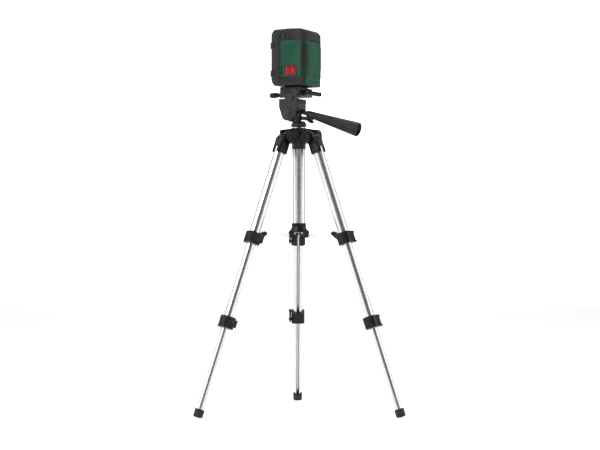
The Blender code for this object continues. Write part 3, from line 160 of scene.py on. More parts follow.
class Finish:
    """A material being made: its tree, its shader, and short ways to add nodes."""

    def __init__(self, name, roughness, metallic=0.0, coat=0.0):
        self.material = bpy.data.materials.new(name)
        self.material.use_nodes = True
        self.tree = self.material.node_tree
        self.shader = self.tree.nodes["Principled BSDF"]
        self.set("Roughness", roughness)
        self.set("Metallic", metallic)
        self.set("Coat Weight", coat)
        self.set("Specular IOR Level", 0.5 if metallic else SHEEN)
        self.place = self.node("ShaderNodeUVMap").outputs["UV"]

    def set(self, name, value):
        """Puts a constant or a varying value on one of the shader's sockets."""
        self.put(self.shader.inputs[name], value)

    def put(self, socket, value):
        if isinstance(value, Value):
            value = value.socket
        if isinstance(value, bpy.types.NodeSocket):
            self.tree.links.new(value, socket)
        else:
            socket.default_value = value

    def node(self, kind, settings=None, **inputs):
        """Adds a node of any kind: its settings first, then its sockets by name."""
        node = self.tree.nodes.new(kind)
        for name, value in (settings or {}).items():
            setattr(node, name, value)
        for name, value in inputs.items():
            self.put(node.inputs[name.replace("_", " ")], value)
        return node

    def stretched(self, across, along):
        """The place on the surface, with one unit for each of these sizes in metres."""
        scale = (1 / across, 1 / along, 1)
        node = self.node("ShaderNodeVectorMath", {"operation": "MULTIPLY"})
        self.put(node.inputs[0], self.place)
        node.inputs[1].default_value = scale
        return node.outputs[0]

    def noise(self, across, along, detail=2.0):
        """Cloudy variation from 0 to 1, of this size each way."""
        settings = {"noise_dimensions": "2D"}
        place = self.stretched(across, along)
        node = self.node("ShaderNodeTexNoise", settings, Vector=place, Scale=1.0, Detail=detail)
        return Value(self.tree, node.outputs[0])

    def edge(self):
        """1 on a softened edge and 0 on open faces."""
        node = self.node("ShaderNodeAttribute", {"attribute_name": "edge"})
        return Value(self.tree, node.outputs["Fac"])

    def blend(self, amount, first, second):
        """Two colours, mixed by a varying amount."""
        node = self.node("ShaderNodeMix", {"data_type": "RGBA"})
        self.put(node.inputs[0], amount)
        for socket, colour in zip((node.inputs[6], node.inputs[7]), (first, second)):
            self.put(socket, colour if isinstance(colour, bpy.types.NodeSocket) else (*colour, 1))
        return node.outputs[2]

    def relief(self, height, depth):
        """Bumps the surface by this many metres where the height is 1."""
        node = self.node("ShaderNodeBump", Height=height, Distance=depth, Strength=1.0)
        self.set("Normal", node.outputs[0])


# %% [markdown]
# ## The finishes
#
# There are two families. Metal carries fine lines and broad smudges, and is duller where it is
# smudged. Moulded plastic has an even spark-eroded grain, rubs pale and smooth along its edges,
# and holds a little dust. Rubber is moulded too, at a coarser grain and with less shine.

# %% Metal
DRAWN_LINE = (0.05 * MM, 22 * MM)
SMUDGE = (9 * MM, 26 * MM)


def drawn_metal(name, colour, dull, roughness):
    """colour × smudges × fine lines, with roughness raised where it is smudged."""
    made = Finish(name, roughness, metallic=1.0)
    lines = made.noise(*DRAWN_LINE)
    smudges = made.noise(*SMUDGE)
    made.set("Base Color", made.blend(smudges.above(0.55, 0.5) * 0.5 + lines * 0.2, colour, dull))
    made.set("Roughness", roughness + lines * 0.06 + smudges * 0.08 + made.edge() * 0.1)
    made.relief(lines, 0.004 * MM)
    return made.material


# %% Moulded plastic and rubber
def moulded(name, colour, rubbed, roughness, grain=0.3 * MM, depth=0.012 * MM, coat=0.0):
    """An even grain, cloudy colour, dust in patches and edges rubbed paler and smoother."""
    made = Finish(name, roughness, coat=coat)
    pits = made.noise(grain, grain, detail=3.0)
    clouds = made.noise(14 * MM, 14 * MM)
    dust = made.noise(5 * MM, 7 * MM, detail=4.0).above(0.58, 0.25)
    rubs = made.edge() * made.noise(1.5 * MM, 4 * MM).above(0.4, 0.3)
    body = made.blend(clouds * 0.35, colour, [value * 0.72 for value in colour])
    dusted = made.blend(dust * 0.06, body, DUST)
    made.set("Base Color", made.blend(rubs * 0.6, dusted, rubbed))
    made.set("Roughness", roughness + dust * 0.12 + clouds * 0.06 - rubs * 0.12)
    made.relief(pits, depth)
    return made.material


DUST = (0.1, 0.098, 0.093)
FINISHES = {
    "aluminium": drawn_metal("aluminium", (0.74, 0.745, 0.75), (0.6, 0.61, 0.62), 0.2),
    "steel": drawn_metal("steel", (0.5, 0.51, 0.52), (0.34, 0.34, 0.35), 0.3),
    "brass": drawn_metal("brass", (0.72, 0.53, 0.26), (0.5, 0.36, 0.17), 0.32),
    "black_plastic": moulded("black_plastic", (0.004, 0.004, 0.004), (0.02, 0.02, 0.02), 0.3),
    "grey_plastic": moulded("grey_plastic", (0.026, 0.026, 0.027), (0.09, 0.09, 0.09), 0.38),
    "rubber": moulded("rubber", (0.022, 0.023, 0.022), (0.06, 0.06, 0.06), 0.55, 0.45 * MM, 0.02 * MM),
    "green_plastic": moulded("green_plastic", (0.003, 0.07, 0.034), (0.03, 0.14, 0.08), 0.36),
    "red_plastic": moulded("red_plastic", (0.3, 0.006, 0.009), (0.42, 0.04, 0.035), 0.3),
    "blackened": moulded("blackened", (0.012, 0.012, 0.012), (0.1, 0.1, 0.1), 0.3),
    "grip_rubber": moulded("grip_rubber", (0.008, 0.008, 0.008), (0.04, 0.04, 0.04), 0.36),
    # This dark green is painted shade and reflection on the rear corners, and painted shade in the finger hollow.
    "green_painted_shade": moulded("green_painted_shade", (0.002, 0.034, 0.02), (0.03, 0.1, 0.06), 0.45),
    "pad": moulded("pad", (0.016, 0.017, 0.017), (0.06, 0.06, 0.06), 0.6, 0.4 * MM),
    "battery": moulded("battery", (0.12, 0.12, 0.13), (0.3, 0.3, 0.3), 0.25, coat=0.5),
}
print("made", ", ".join(FINISHES))

# %% [markdown]
# ## Glass
#
# The window is a thin clear plate over a dark chamber. It needs no refraction to read as
# glass: a dark body under a full clear coat gives the same soft highlight. Faint wipe marks
# in the roughness keep it from looking like a hole.


# %% The window's finish
def window_finish():
    made = Finish("glass", 0.08, coat=1.0)
    wipes = made.noise(12 * MM, 1.2 * MM).above(0.5, 0.4)
    made.set("Base Color", made.blend(wipes * 0.2, (0.012, 0.016, 0.018), (0.03, 0.034, 0.036)))
    made.set("Roughness", 0.06 + wipes * 0.1)
    made.relief(wipes, 0.002 * MM)
    return made.material


FINISHES["glass"] = window_finish()

# %% [markdown]
# ## Meshes from whole-array surfaces
#
# A turned or drawn piece is a grid of points: rows go along it, columns go round it. The
# surface function works on whole arrays at once, and one helper joins the grid into quads,
# closes its two ends, and stores a UV map in metres from the grid's own lengths.


# %% A grid of points to a closed mesh
def add_piece(mesh, name, slot, body, nodes=(), finish=None):
    """Shows a finished mesh on its body, in its slot's or another finish, in place of nodes."""
    piece = bpy.data.objects.new(name, mesh)
    bpy.context.scene.collection.objects.link(piece)
    mesh.materials.clear()
    mesh.materials.append(FINISHES[finish or slot])
    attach(piece, body)
    if nodes:
        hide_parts(*nodes)


def shade(mesh, degrees=35):
    """Smooth within this angle between faces, and sharp beyond it."""
    mesh.shade_smooth()
    mesh.set_sharp_from_angle(angle=np.radians(degrees))


def grid_faces(rows, columns):
    """Quads between each row and the next, wrapping round the columns, and two end caps."""
    row, column_index = np.meshgrid(np.arange(rows - 1), np.arange(columns), indexing="ij")
    nearby = (column_index + 1) % columns
    corners = (
        row * columns + column_index,
        row * columns + nearby,
        (row + 1) * columns + nearby,
        (row + 1) * columns + column_index,
    )
    quads = np.stack(corners, axis=-1).reshape(-1, 4).tolist()
    first = list(range(columns))[::-1]
    last = list(range((rows - 1) * columns, rows * columns))
    return quads + [first, last]


def cumulative(points, axis):
    """The length walked so far along one axis of a grid of points."""
    steps = np.linalg.norm(np.diff(points, axis=axis), axis=-1)
    start = np.zeros_like(np.take(steps, [0], axis=axis))
    return np.concatenate((start, np.cumsum(steps, axis=axis)), axis=axis)


def grid_mesh(name, points, place):
    """A closed mesh through a rows × columns × 3 grid, put in place by a matrix."""
    rows, columns = points.shape[:2]
    placed = points.reshape(-1, 3) @ np.array(place)[:3, :3].T + np.array(place)[:3, 3]
    mesh = bpy.data.meshes.new(name)
    mesh.from_pydata(placed.tolist(), [], grid_faces(rows, columns))
    around = cumulative(points, 1).reshape(-1)
    along = cumulative(points, 0).reshape(-1)
    vertex = np.empty(len(mesh.loops), np.int32)
    mesh.loops.foreach_get("vertex_index", vertex)
    uv = np.stack((around[vertex], along[vertex]), axis=1)
    mesh.uv_layers.new(name="UVMap").data.foreach_set("uv", uv.astype(np.float32).reshape(-1))
    tidy_normals(mesh)
    shade(mesh)
    return mesh


def tidy_normals(mesh):
    """Turns every face outward."""
    work = bmesh.new()
    work.from_mesh(mesh)
    bmesh.ops.recalc_face_normals(work, faces=work.faces)
    work.to_mesh(mesh)
    work.free()


# %% [markdown]
# ## Softened CAD forms
#
# Moulded pieces have many flats and pockets that the CAD model already holds exactly. What it
# lacks is the small radius on every edge that a mould leaves, which is what catches the light.
# A copy of the CAD mesh is merged, its flat triangles are joined back into faces, and the
# sharp edges are bevelled. The new faces are marked, so that the material can rub them pale.


# %% A CAD node with softened edges
FLAT_DEGREES = 1.0
SHARP_DEGREES = 32.0


def box_uv(work):
    """Lays each face on its nearest principal plane, in metres."""
    layer = work.loops.layers.uv.new("UVMap")
    for face in work.faces:
        normal = [abs(value) for value in face.normal]
        across, along = [(1, 2), (0, 2), (0, 1)][normal.index(max(normal))]
        for loop in face.loops:
            loop[layer].uv = (loop.vert.co[across], loop.vert.co[along])


def softened(node, radius, finish=None, segments=2):
    """Replaces a CAD node by a copy whose sharp edges have this radius."""
    work = bmesh.new()
    work.from_mesh(frame["nodes"][node].data)
    bmesh.ops.remove_doubles(work, verts=work.verts, dist=0.002 * MM)
    flat = np.radians(FLAT_DEGREES)
    bmesh.ops.dissolve_limit(work, angle_limit=flat, verts=work.verts, edges=work.edges)
    bmesh.ops.recalc_face_normals(work, faces=work.faces)
    mark = work.faces.layers.float.new("edge")
    sharp = [edge for edge in work.edges if edge.is_manifold and crisp(edge, radius)]
    made = bmesh.ops.bevel(
        work, geom=sharp, offset=radius, segments=segments, affect="EDGES", clamp_overlap=True
    )
    for face in made["faces"]:
        face[mark] = 1.0
    box_uv(work)
    mesh = bpy.data.meshes.new(node)
    work.to_mesh(mesh)
    work.free()
    shade(mesh)
    add_piece(mesh, f"{node}_piece", slots[node], bodies_of[node], (node,), finish)


def crisp(edge, radius):
    """True on an edge that turns sharply and is long enough to take the radius."""
    turns = edge.calc_face_angle(0) > np.radians(SHARP_DEGREES)
    return turns and edge.calc_length() > 2 * radius


bodies_of = {
    node: body for body, nodes in frame["record"]["behaviour"]["bodies"].items() for node in nodes
}
print("bodies of", len(bodies_of), "nodes")

# %% [markdown]
# ## Leg tubes
#
# Each leg has three tubes drawn from strip, so each is a C in section, open towards the
# column where the spreader arm swings in. The section is one closed outline: round the
# outside, over a lip, back along the inside and over the other lip. Swept straight along the
# leg with its ends drawn in a little, it gives a tube with soft rims.

# %% The section and the sweep
TUBES = {
    "upper": (8.4 * MM, 1.1 * MM),
    "middle": (7.0 * MM, 1.2 * MM),
    "lower": (5.2 * MM, 1.1 * MM),
}
SLOT_WIDTH = 4.6 * MM
RIM = 0.25 * MM


def c_section(radius, wall, steps=44):
    """Outside (r cos a, r sin a) from one lip to the other, then inside at r − wall back."""
    half = SLOT_WIDTH / 2
    outer = np.linspace(-np.pi + np.arcsin(half / radius), np.pi - np.arcsin(half / radius), steps)
    inside = radius - wall
    inner = np.linspace(np.pi - np.arcsin(half / inside), -np.pi + np.arcsin(half / inside), steps)
    turns = np.concatenate((outer, inner))
    reach = np.concatenate((np.full(steps, radius), np.full(steps, inside)))
    return np.stack((reach * np.cos(turns), reach * np.sin(turns)), axis=1)


def drawn_in(section, wall, amount):
    """The section with its wall thinned by amount from both sides."""
    middle = np.hypot(section[:, 0], section[:, 1])
    centre = (middle.max() + middle.min()) / 2
    reach = centre + (middle - centre) * (1 - 2 * amount / wall)
    return section * (reach / middle)[:, None]


def tube_points(radius, wall, low, high, shift):
    """Rows along z: the rim, the plain length, the rim."""
    full = c_section(radius, wall)
    rim = drawn_in(full, wall, RIM)
    stops = np.linspace(low + RIM, high - RIM, 12)
    heights = np.concatenate(([low], stops, [high]))
    plans = np.stack([rim] + [full] * len(stops) + [rim])
    z = np.broadcast_to(heights[:, None, None], (*plans.shape[:2], 1))
    return np.concatenate((plans + (shift, 0), z), axis=2)


# %% Nine tubes
def span_along(node, place):
    """Where a CAD node starts and ends along a frame's z."""
    data = frame["nodes"][node].data
    points = np.empty(len(data.vertices) * 3, np.float32)
    data.vertices.foreach_get("co", points)
    inverse = np.array(place.inverted())
    local = points.reshape(-1, 3) @ inverse[:3, :3].T + inverse[:3, 3]
    return local.min(axis=0), local.max(axis=0)


replaced = set()
for side, place in LEGS.items():
    for name, (radius, wall) in TUBES.items():
        node = f"{name}_tube_{side}"
        low, high = span_along(node, place)
        shift = (low[1] + high[1]) / 2
        points = tube_points(radius, wall, low[2], high[2], high[0] - radius)
        mesh = grid_mesh(node, points, place @ Matrix.Translation((0, shift, 0)))
        add_piece(mesh, f"{node}_piece", "aluminium", bodies_of[node], (node,))
        replaced.add(node)
print("drew", len(replaced), "tubes")

# %% [markdown]
# ## The grip
#
# The grip is a long rubbery cone. Its radius grows evenly along its length and is level just
# before the end. Shallow grooves run lengthwise for the hand, fading out at both ends, so its
# radius is the profile less a small wave in the angle. Its outer end has a shallow hollow.

# %% A ribbed cone
GRIP_RADIUS = 10.8 * MM
GRIP_START_RADIUS = 4.9 * MM
GRIP_GROOVES = 14
GROOVE_DEPTH = 0.35 * MM


def smooth_step(value, low, high):
    """3t² − 2t³ for t from 0 at low to 1 at high."""
    t = np.clip((value - low) / (high - low), 0, 1)
    return t * t * (3 - 2 * t)


def turned_points(heights, radii, columns, wave=None):
    """Points (r cos a, r sin a, z), with r = radii(z) less an optional wave(z, a)."""
    angles = np.linspace(0, 2 * np.pi, columns, endpoint=False)
    z, a = np.meshgrid(heights, angles, indexing="ij")
    reach = np.broadcast_to(np.asarray(radii)[:, None], z.shape)
    if wave is not None:
        reach = reach - wave(z, a)
    return np.stack((reach * np.cos(a), reach * np.sin(a), z), axis=2)


def grip_grooves(z, a):
    """depth × fade(z) × (0.5 + 0.5 cos(n a))², which leaves narrow grooves."""
    fade = smooth_step(z, grip_low + 9 * MM, grip_low + 16 * MM)
    fade = fade * (1 - smooth_step(z, grip_high - 13 * MM, grip_high - 9 * MM))
    return GROOVE_DEPTH * fade * (0.5 + 0.5 * np.cos(GRIP_GROOVES * a)) ** 2


HANDLE = pin_frame("handle_twist")
low, high = span_along("handle_grip", HANDLE)
grip_low, grip_high = low[2], high[2]
body = np.linspace(0, 1, 60)
grip_z = grip_low + 0.8 * MM + body * (grip_high - grip_low - 1.6 * MM)
grip_r = GRIP_START_RADIUS + (GRIP_RADIUS - GRIP_START_RADIUS) * np.minimum(body * 1.05, 1)
ends_z = np.array([grip_high - 0.4 * MM, grip_high, grip_high - 0.3 * MM, grip_high - 3.4 * MM])
ends_r = np.array([-0.1, -0.7, -1.6, -2.6]) * MM + GRIP_RADIUS
heights = np.concatenate(([grip_low, grip_low + 0.2 * MM], grip_z, ends_z))
start_r = np.array([GRIP_START_RADIUS - 0.8 * MM, GRIP_START_RADIUS - 0.3 * MM])
radii = np.concatenate((start_r, grip_r, ends_r))
points = turned_points(heights, radii, 168, grip_grooves)
mesh = grid_mesh("handle_grip", points, HANDLE)
add_piece(mesh, "handle_grip_piece", "black_plastic", "handle", ("handle_grip",), "grip_rubber")
replaced.add("handle_grip")
print("the grip is", round((grip_high - grip_low) / MM, 1), "mm long")

# %% [markdown]
# ## The level's corners
#
# On each rear corner the shade and dark reflection on the green corner are painted as a dark
# green band between the side panel and the rear cover, with a rubber pad over its middle. Both
# follow the corner's arc: the plan is an arc out and a slightly smaller arc back, and it is swept straight up with
# its ends drawn in.

# %% Painted shade bands and pads on an arc
CORNER = 10.0 * MM
LEVEL_REAR = -27.2 * MM
LEVEL_SIDE = 29.0 * MM
CORNER_SHADE_HEIGHTS = (516.9 * MM, 572.2 * MM)
PAD_HEIGHTS = (529.0 * MM, 563.7 * MM)


def arc_plan(radius, thickness, start, end, steps=24):
    """Outside (r cos a, r sin a) from start to end, then back at r − thickness."""
    turns = np.linspace(np.radians(start), np.radians(end), steps)
    turns = np.concatenate((turns, turns[::-1]))
    reach = np.repeat((radius, radius - thickness), steps)
    return np.stack((reach * np.cos(turns), reach * np.sin(turns)), axis=1)


def shrunk(plan, amount):
    """The plan drawn towards its own middle by amount along each axis."""
    middle = (plan.max(axis=0) + plan.min(axis=0)) / 2
    half = (plan.max(axis=0) - plan.min(axis=0)) / 2
    return middle + (plan - middle) * (1 - amount / half)


def swept(plan, low, high, soft):
    """Rows along z with both ends drawn in by soft over a quarter round."""
    turn = np.linspace(0, np.pi / 2, 4)
    inset = soft * (1 - np.sin(turn))
    rise = soft * (1 - np.cos(turn))
    insets = np.concatenate((inset, inset[::-1]))
    heights = np.concatenate((low + rise, high - rise[::-1]))
    plans = np.stack([shrunk(plan, amount) for amount in insets])
    z = np.broadcast_to(heights[:, None, None], (*plans.shape[:2], 1))
    return np.concatenate((plans, z), axis=2)


def corner_piece(name, hand, proud, angles, heights, finish):
    """One piece on a rear corner; hand is 1 on the switch's side and −1 on the other."""
    plan = arc_plan(CORNER + proud, proud + 0.3 * MM, *angles)
    plan = plan + (LEVEL_REAR + CORNER, LEVEL_SIDE - CORNER)
    points = swept(plan * (1, hand), *heights, 0.2 * MM)
    add_piece(grid_mesh(name, points, HEAD), name, "rubber", "laser", finish=finish)


for hand, word in ((1, "near"), (-1, "far")):
    # The dark green band is painted shade and reflection on the green corner, not a part of its own.
    corner_piece(f"corner_painted_shade_{word}", hand, 0.1 * MM, (94, 166), CORNER_SHADE_HEIGHTS, "green_painted_shade")
    corner_piece(f"corner_pad_{word}", hand, 0.55 * MM, (96, 160), PAD_HEIGHTS, "pad")
print("strips and pads on both rear corners")

# %% [markdown]
# ## Small features of the level
#
# A dark green oval plate is painted shade of the finger hollow where a fingertip opens the rear
# cover; the hollow itself is not cut. A small latch plate sits below it. A thin dark bar along the
# jacket's lower band is painted shade of the groove there, and three short raised bars stand above the
# side notches. The platform's side has three dark plates. Each is a soft-edged slab: a superellipse
# plan, |x/a|ⁿ + |y/b|ⁿ = 1, swept through its thickness with its ends drawn in.

# %% Soft-edged slabs
SIDE_FACE = 29.0 * MM
REAR_FACE = -26.8 * MM
GROOVE_SHADE_LEVEL = 509.6 * MM
SCOOP_SHADE_LEVEL = 518.4 * MM
LATCH_LEVEL = 507.4 * MM
BAR_LEVEL = 585.4 * MM
BAR_FIRST = 14.6 * MM
BAR_PITCH = 8.2 * MM
PLATFORM_FACE = 27.0 * MM
PLATFORM_PORTS = (15.2 * MM, 6.9 * MM, -1.8 * MM)
PORT_LENGTHS = (4.8 * MM, 6.0 * MM, 3.6 * MM)
PORT_LEVEL = 495.6 * MM
GROOVE_SHADE_FORWARD = 4.5 * MM
GROOVE_SHADE_SIZE = (34 * MM, 4.6 * MM, 0.5 * MM)
BAR_SIZE = (5.4 * MM, 1.5 * MM, 0.5 * MM)
SCOOP_SHADE_SIZE = (11 * MM, 6.6 * MM, 0.35 * MM)
LATCH_SIZE = (10 * MM, 4.6 * MM, 0.4 * MM)
PORT_WIDTH = 2.8 * MM
PORT_THICKNESS = 0.2 * MM
SEAT = 0.1 * MM


def superellipse(half_length, half_width, power, steps=72):
    """(a sgn(cos) |cos|^(2/n), b sgn(sin) |sin|^(2/n)) once round."""
    turns = np.linspace(0, 2 * np.pi, steps, endpoint=False)
    across, up = np.cos(turns), np.sin(turns)
    x = half_length * np.sign(across) * np.abs(across) ** (2 / power)
    y = half_width * np.sign(up) * np.abs(up) ** (2 / power)
    return np.stack((x, y), axis=1)


def slab(name, place, size, power, soft, finish, slot="rubber", body="laser"):
    """A soft-edged slab on a body; its size is length, width and thickness."""
    length, width, thickness = size
    points = swept(superellipse(length / 2, width / 2, power), 0, thickness, soft)
    add_piece(grid_mesh(name, points, place), name, slot, body, finish=finish)


def facing(point, outward, across):
    """A place in the head's frame whose z looks outward."""
    return HEAD @ frame_of(point, across, outward)


for hand, word in ((1, "near"), (-1, "far")):
    outward = (0, hand, 0)
    # The thin dark bar along the lower band is painted shade of the groove there, laid on as a proud strip.
    spot = facing((GROOVE_SHADE_FORWARD, hand * (SIDE_FACE - SEAT), GROOVE_SHADE_LEVEL), outward, (1, 0, 0))
    slab(f"lower_groove_shade_{word}", spot, GROOVE_SHADE_SIZE, 8, 0.3 * MM, "pad")
    for i in range(3):
        point = (BAR_FIRST - i * BAR_PITCH, hand * (SIDE_FACE - SEAT), BAR_LEVEL)
        spot = facing(point, outward, (1, 0, 0))
        slab(f"top_bar_{word}_{i}", spot, BAR_SIZE, 4, 0.3 * MM, "pad")
# The dark green oval is painted shade of the finger hollow, which is not cut into the cover.
scoop_shade = facing((REAR_FACE + SEAT, 0, SCOOP_SHADE_LEVEL), (-1, 0, 0), (0, 1, 0))
slab("finger_hollow_painted_shade", scoop_shade, SCOOP_SHADE_SIZE, 2.4, 0.2 * MM, "green_painted_shade", "green_plastic", "door")
latch = facing((REAR_FACE + SEAT, 0, LATCH_LEVEL), (-1, 0, 0), (0, 1, 0))
slab("door_latch", latch, LATCH_SIZE, 5, 0.3 * MM, "green_plastic", "green_plastic")
for i, (along, length) in enumerate(zip(PLATFORM_PORTS, PORT_LENGTHS)):
    spot = facing((along, PLATFORM_FACE - SEAT, PORT_LEVEL), (0, 1, 0), (1, 0, 0))
    size = (length, PORT_WIDTH, PORT_THICKNESS)
    slab(f"platform_port_{i}", spot, size, 6, 0.1 * MM, "blackened", "grey_plastic", "flip")
print("ribs, bars, scoop, latch and ports")

# %% [markdown]
# ## Rings on the feet
#
# Two low rings go round each rubber foot. A ring is a torus stretched along its axis, written
# as one surface of two angles: ((R + r cos v) cos u, (R + r cos v) sin u, s sin v).

# %% Beads
FOOT_BEADS = (440.4 * MM, 442.6 * MM)
FOOT_RADIUS = 7.25 * MM
BEAD = 0.35 * MM
BEAD_HEIGHT = 0.6 * MM


def bead_mesh(name, place, radius, thick, tall, around=72, section=14):
    """A stretched torus as a closed grid that wraps both ways."""
    u = np.linspace(0, 2 * np.pi, around, endpoint=False)
    v = np.linspace(0, 2 * np.pi, section, endpoint=False)
    u, v = np.meshgrid(u, v, indexing="ij")
    reach = radius + thick * np.cos(v)
    points = np.stack((reach * np.cos(u), reach * np.sin(u), tall * np.sin(v)), axis=2)
    placed = points.reshape(-1, 3) @ np.array(place)[:3, :3].T + np.array(place)[:3, 3]
    row, step = np.meshgrid(np.arange(around), np.arange(section), indexing="ij")
    next_row, next_step = (row + 1) % around, (step + 1) % section
    corners = (row * section + step, next_row * section + step)
    corners += (next_row * section + next_step, row * section + next_step)
    mesh = bpy.data.meshes.new(name)
    mesh.from_pydata(placed.tolist(), [], np.stack(corners, axis=-1).reshape(-1, 4).tolist())
    vertex = np.empty(len(mesh.loops), np.int32)
    mesh.loops.foreach_get("vertex_index", vertex)
    uv = np.stack((u * radius, v * thick), axis=2).reshape(-1, 2)[vertex]
    mesh.uv_layers.new(name="UVMap").data.foreach_set("uv", uv.astype(np.float32).reshape(-1))
    tidy_normals(mesh)
    shade(mesh)
    return mesh


foot_middle = span_along("foot_rear", LEGS["rear"])[1][0] - FOOT_RADIUS
for side, place in LEGS.items():
    for i, depth in enumerate(FOOT_BEADS):
        spot = place @ Matrix.Translation((foot_middle, 0, -depth))
        mesh = bead_mesh(f"foot_bead_{side}_{i}", spot, FOOT_RADIUS - SEAT, BEAD, BEAD_HEIGHT)
        add_piece(mesh, f"foot_bead_{side}_{i}", "rubber", f"lower_section_{side}")
print("beads on", len(LEGS), "feet")

# %% [markdown]
# ## Rivets
#
# The spreader arms turn on rivets: a shallow dome with a dimple, standing on the arm's face.
# A dome is turned from a profile. There is one on both faces of each arm's outer end.

# %% Domed rivets
RIVET_RADIUS = 2.3 * MM
RIVET_HEIGHT = 0.5 * MM
ARM_END = 3.4 * MM


def dome_points(radius, height, dimple, columns=40):
    """z = h √(1 − (r/R)²) less a dimple near r = 0, from a flat foot up to the middle."""
    reach = radius * np.cos(np.linspace(0, np.pi / 2, 14))[:-1]
    share = reach / radius
    z = height * np.sqrt(1 - share**2) - dimple * (1 - smooth_step(share, 0.2, 0.45))
    heights = np.concatenate(([-0.1 * MM], z))
    radii = np.concatenate(([radius], reach))
    return turned_points(heights, radii, columns)


for side in SIDES:
    node = f"spreader_arm_{side}"
    arm = pin_frame(f"arm_{side}_swing")
    low, high = span_along(node, arm)
    for face, turn, word in ((high[2], 0, "front"), (low[2], np.pi, "back")):
        spot = Matrix.Translation((high[0] - ARM_END, high[1] - ARM_END, face))
        points = dome_points(RIVET_RADIUS, RIVET_HEIGHT, 0.4 * MM)
        mesh = grid_mesh(node, points, arm @ spot @ Matrix.Rotation(turn, 4, "X"))
        add_piece(mesh, f"arm_rivet_{side}_{word}", "steel", bodies_of[node])
print("riveted", len(SIDES), "arms")

# %% [markdown]
# ## Moulded pieces
#
# The radius suits each piece: a hand knob is soft, a machined bolt is nearly crisp. The
# hinge bolts are blackened, so they take their own finish.

# %% Soften the moulded pieces
EDGE_RADII = {"rubber": 0.5 * MM, "steel": 0.15 * MM, "brass": 0.15 * MM, "aluminium": 0.12 * MM}
blackened = {f"leg_hinge_bolt_{side}" for side in SIDES}
for node in sorted(set(slots) - replaced):
    radius = EDGE_RADII.get(slots[node], 0.35 * MM)
    softened(node, radius, "blackened" if node in blackened else None)
print("softened", len(slots) - len(replaced), "nodes")

# %% [markdown]
# ## The studio
#
# The floor is pale and the light comes from wide soft panels. The polished tubes mirror
# whatever stands around them, so a tall dark card behind the camera puts the thin dark line
# down the middle of each tube. The camera stands at about half the object's height, far back,
# so that the legs hardly converge.

# %% Floor, card and lights
FLOOR_SIZE = 14.0
CAMERA_DISTANCE = 2.439
CAMERA_HEIGHT = 0.2629
CAMERA_TURN = -0.7
CAMERA_PITCH = 0.6
CAMERA_LENS = 94.4
WORLD_LIGHT = 0.25
WALL_LIGHT = 0.78
WALL_OUT = 2.2
BACKDROP_LIGHT = 1.0
BACKDROP_SIZE = (3.2, 3.0)
BACKDROP_AWAY = 5.0
CARD_SIZE = (1.7, 2.2)
CARD_AWAY = 3.1
WALL_SIZE = (2.9, 2.8)
WALL_AWAY = 0.45
FLOOR_DROP = 0.5 * MM
FLOOR_GLOW = 0.6
CAMERA_SHIFT = 1.8 * MM
KEY_POWER = 26
TOP_POWER = 34


def stage_material(name, colour, roughness, glow=0.0):
    """A finish for things round the object, which may glow white."""
    made = Finish(name, roughness)
    made.set("Base Color", (*colour, 1))
    made.set("Emission Color", (1, 1, 1, 1))
    made.set("Emission Strength", glow)
    return made.material


def stage_sheet(name, centre, width, height, turn, material):
    """A flat sheet, standing unless it is turned, that isn't part of the object."""
    across, up = np.meshgrid((-width / 2, width / 2), (-height / 2, height / 2), indexing="ij")
    corners = np.stack((across, up, np.zeros_like(up)), axis=-1).reshape(-1, 3)
    placed = corners @ np.array(turn.to_3x3()).T + np.array(centre)
    mesh = bpy.data.meshes.new(name)
    mesh.from_pydata(placed.tolist(), [], [(0, 2, 3, 1)])
    mesh.materials.append(material)
    sheet = bpy.data.objects.new(name, mesh)
    bpy.context.scene.collection.objects.link(sheet)
    sheet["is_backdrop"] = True


def panel_light(name, place, aim, size, power):
    """A soft rectangular light that looks at a point."""
    light = bpy.data.lights.new(name, "AREA")
    light.shape = "RECTANGLE"
    light.size, light.size_y = size
    light.energy = power
    lamp = bpy.data.objects.new(name, light)
    lamp.location = place
    lamp.rotation_euler = (Vector(aim) - Vector(place)).to_track_quat("-Z", "Y").to_euler()
    bpy.context.scene.collection.objects.link(lamp)


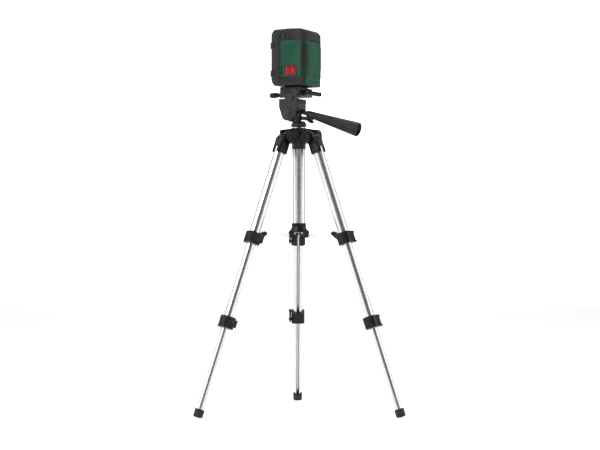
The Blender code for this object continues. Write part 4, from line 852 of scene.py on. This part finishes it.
flat = Matrix.Identity(4)
upright = Matrix.Rotation(np.radians(90), 4, "X")
white = stage_material("stage_white", (0.6, 0.6, 0.6), 0.9, glow=FLOOR_GLOW)
glow = stage_material("stage_glow", (0.9, 0.9, 0.9), 0.9, glow=BACKDROP_LIGHT)
black = stage_material("stage_black", (0.01, 0.01, 0.01), 0.9)
stage_sheet("floor", (0, 0, -FLOOR_DROP), FLOOR_SIZE, FLOOR_SIZE, flat, white)
bright = stage_material("stage_bright", (0.9, 0.9, 0.9), 0.9, glow=WALL_LIGHT)
stage_sheet("backdrop", (0, BACKDROP_AWAY, 1.4), *BACKDROP_SIZE, upright, glow)
stage_sheet("dark_card", (column.x, column.y - CARD_AWAY, 1.0), *CARD_SIZE, upright, black)
middle = (column.x, column.y, 0.3)
side_wall = upright @ Matrix.Rotation(np.radians(90), 4, "Y")
for hand, word in ((-1, "left"), (1, "right")):
    place = (column.x + hand * WALL_OUT, column.y - WALL_AWAY, 1.2)
    stage_sheet(f"{word}_wall", place, *WALL_SIZE, side_wall, bright)
panel_light("key_panel", (-1.7, -1.9, 2.0), middle, (0.7, 0.9), KEY_POWER)
panel_light("top_panel", (0.3, 0.3, 2.6), middle, (1.6, 1.6), TOP_POWER)
world = bpy.data.worlds.new("studio")
bpy.context.scene.world = world
world.use_nodes = True
world.node_tree.nodes["Background"].inputs["Color"].default_value = (1, 1, 1, 1)
world.node_tree.nodes["Background"].inputs["Strength"].default_value = WORLD_LIGHT

# %% Camera
view = Matrix.Rotation(np.radians(CAMERA_TURN), 4, "Z")
view = Matrix.Translation((column.x, column.y, 0)) @ view
place = Matrix.Translation((CAMERA_SHIFT, -CAMERA_DISTANCE, CAMERA_HEIGHT))
tilt = Matrix.Rotation(np.radians(90 + CAMERA_PITCH), 4, "X")
camera = bpy.data.objects.new("camera", bpy.data.cameras.new("camera"))
camera.data.lens = CAMERA_LENS
camera.matrix_world = view @ place @ tilt
bpy.context.scene.collection.objects.link(camera)
bpy.context.scene.camera = camera
bpy.context.scene.view_settings.view_transform = "Standard"
print("camera stands at", [round(value, 3) for value in camera.location])

# %% [markdown]
# ## Finish
#
# Both boxes, the CAD model's and the scene's, are printed side by side.

# %% Write the sizes and finish
boxes = {"cad": cad_box, "scene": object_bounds()}
boxes = {name: np.array(box).tolist() for name, box in boxes.items()}
print(boxes)
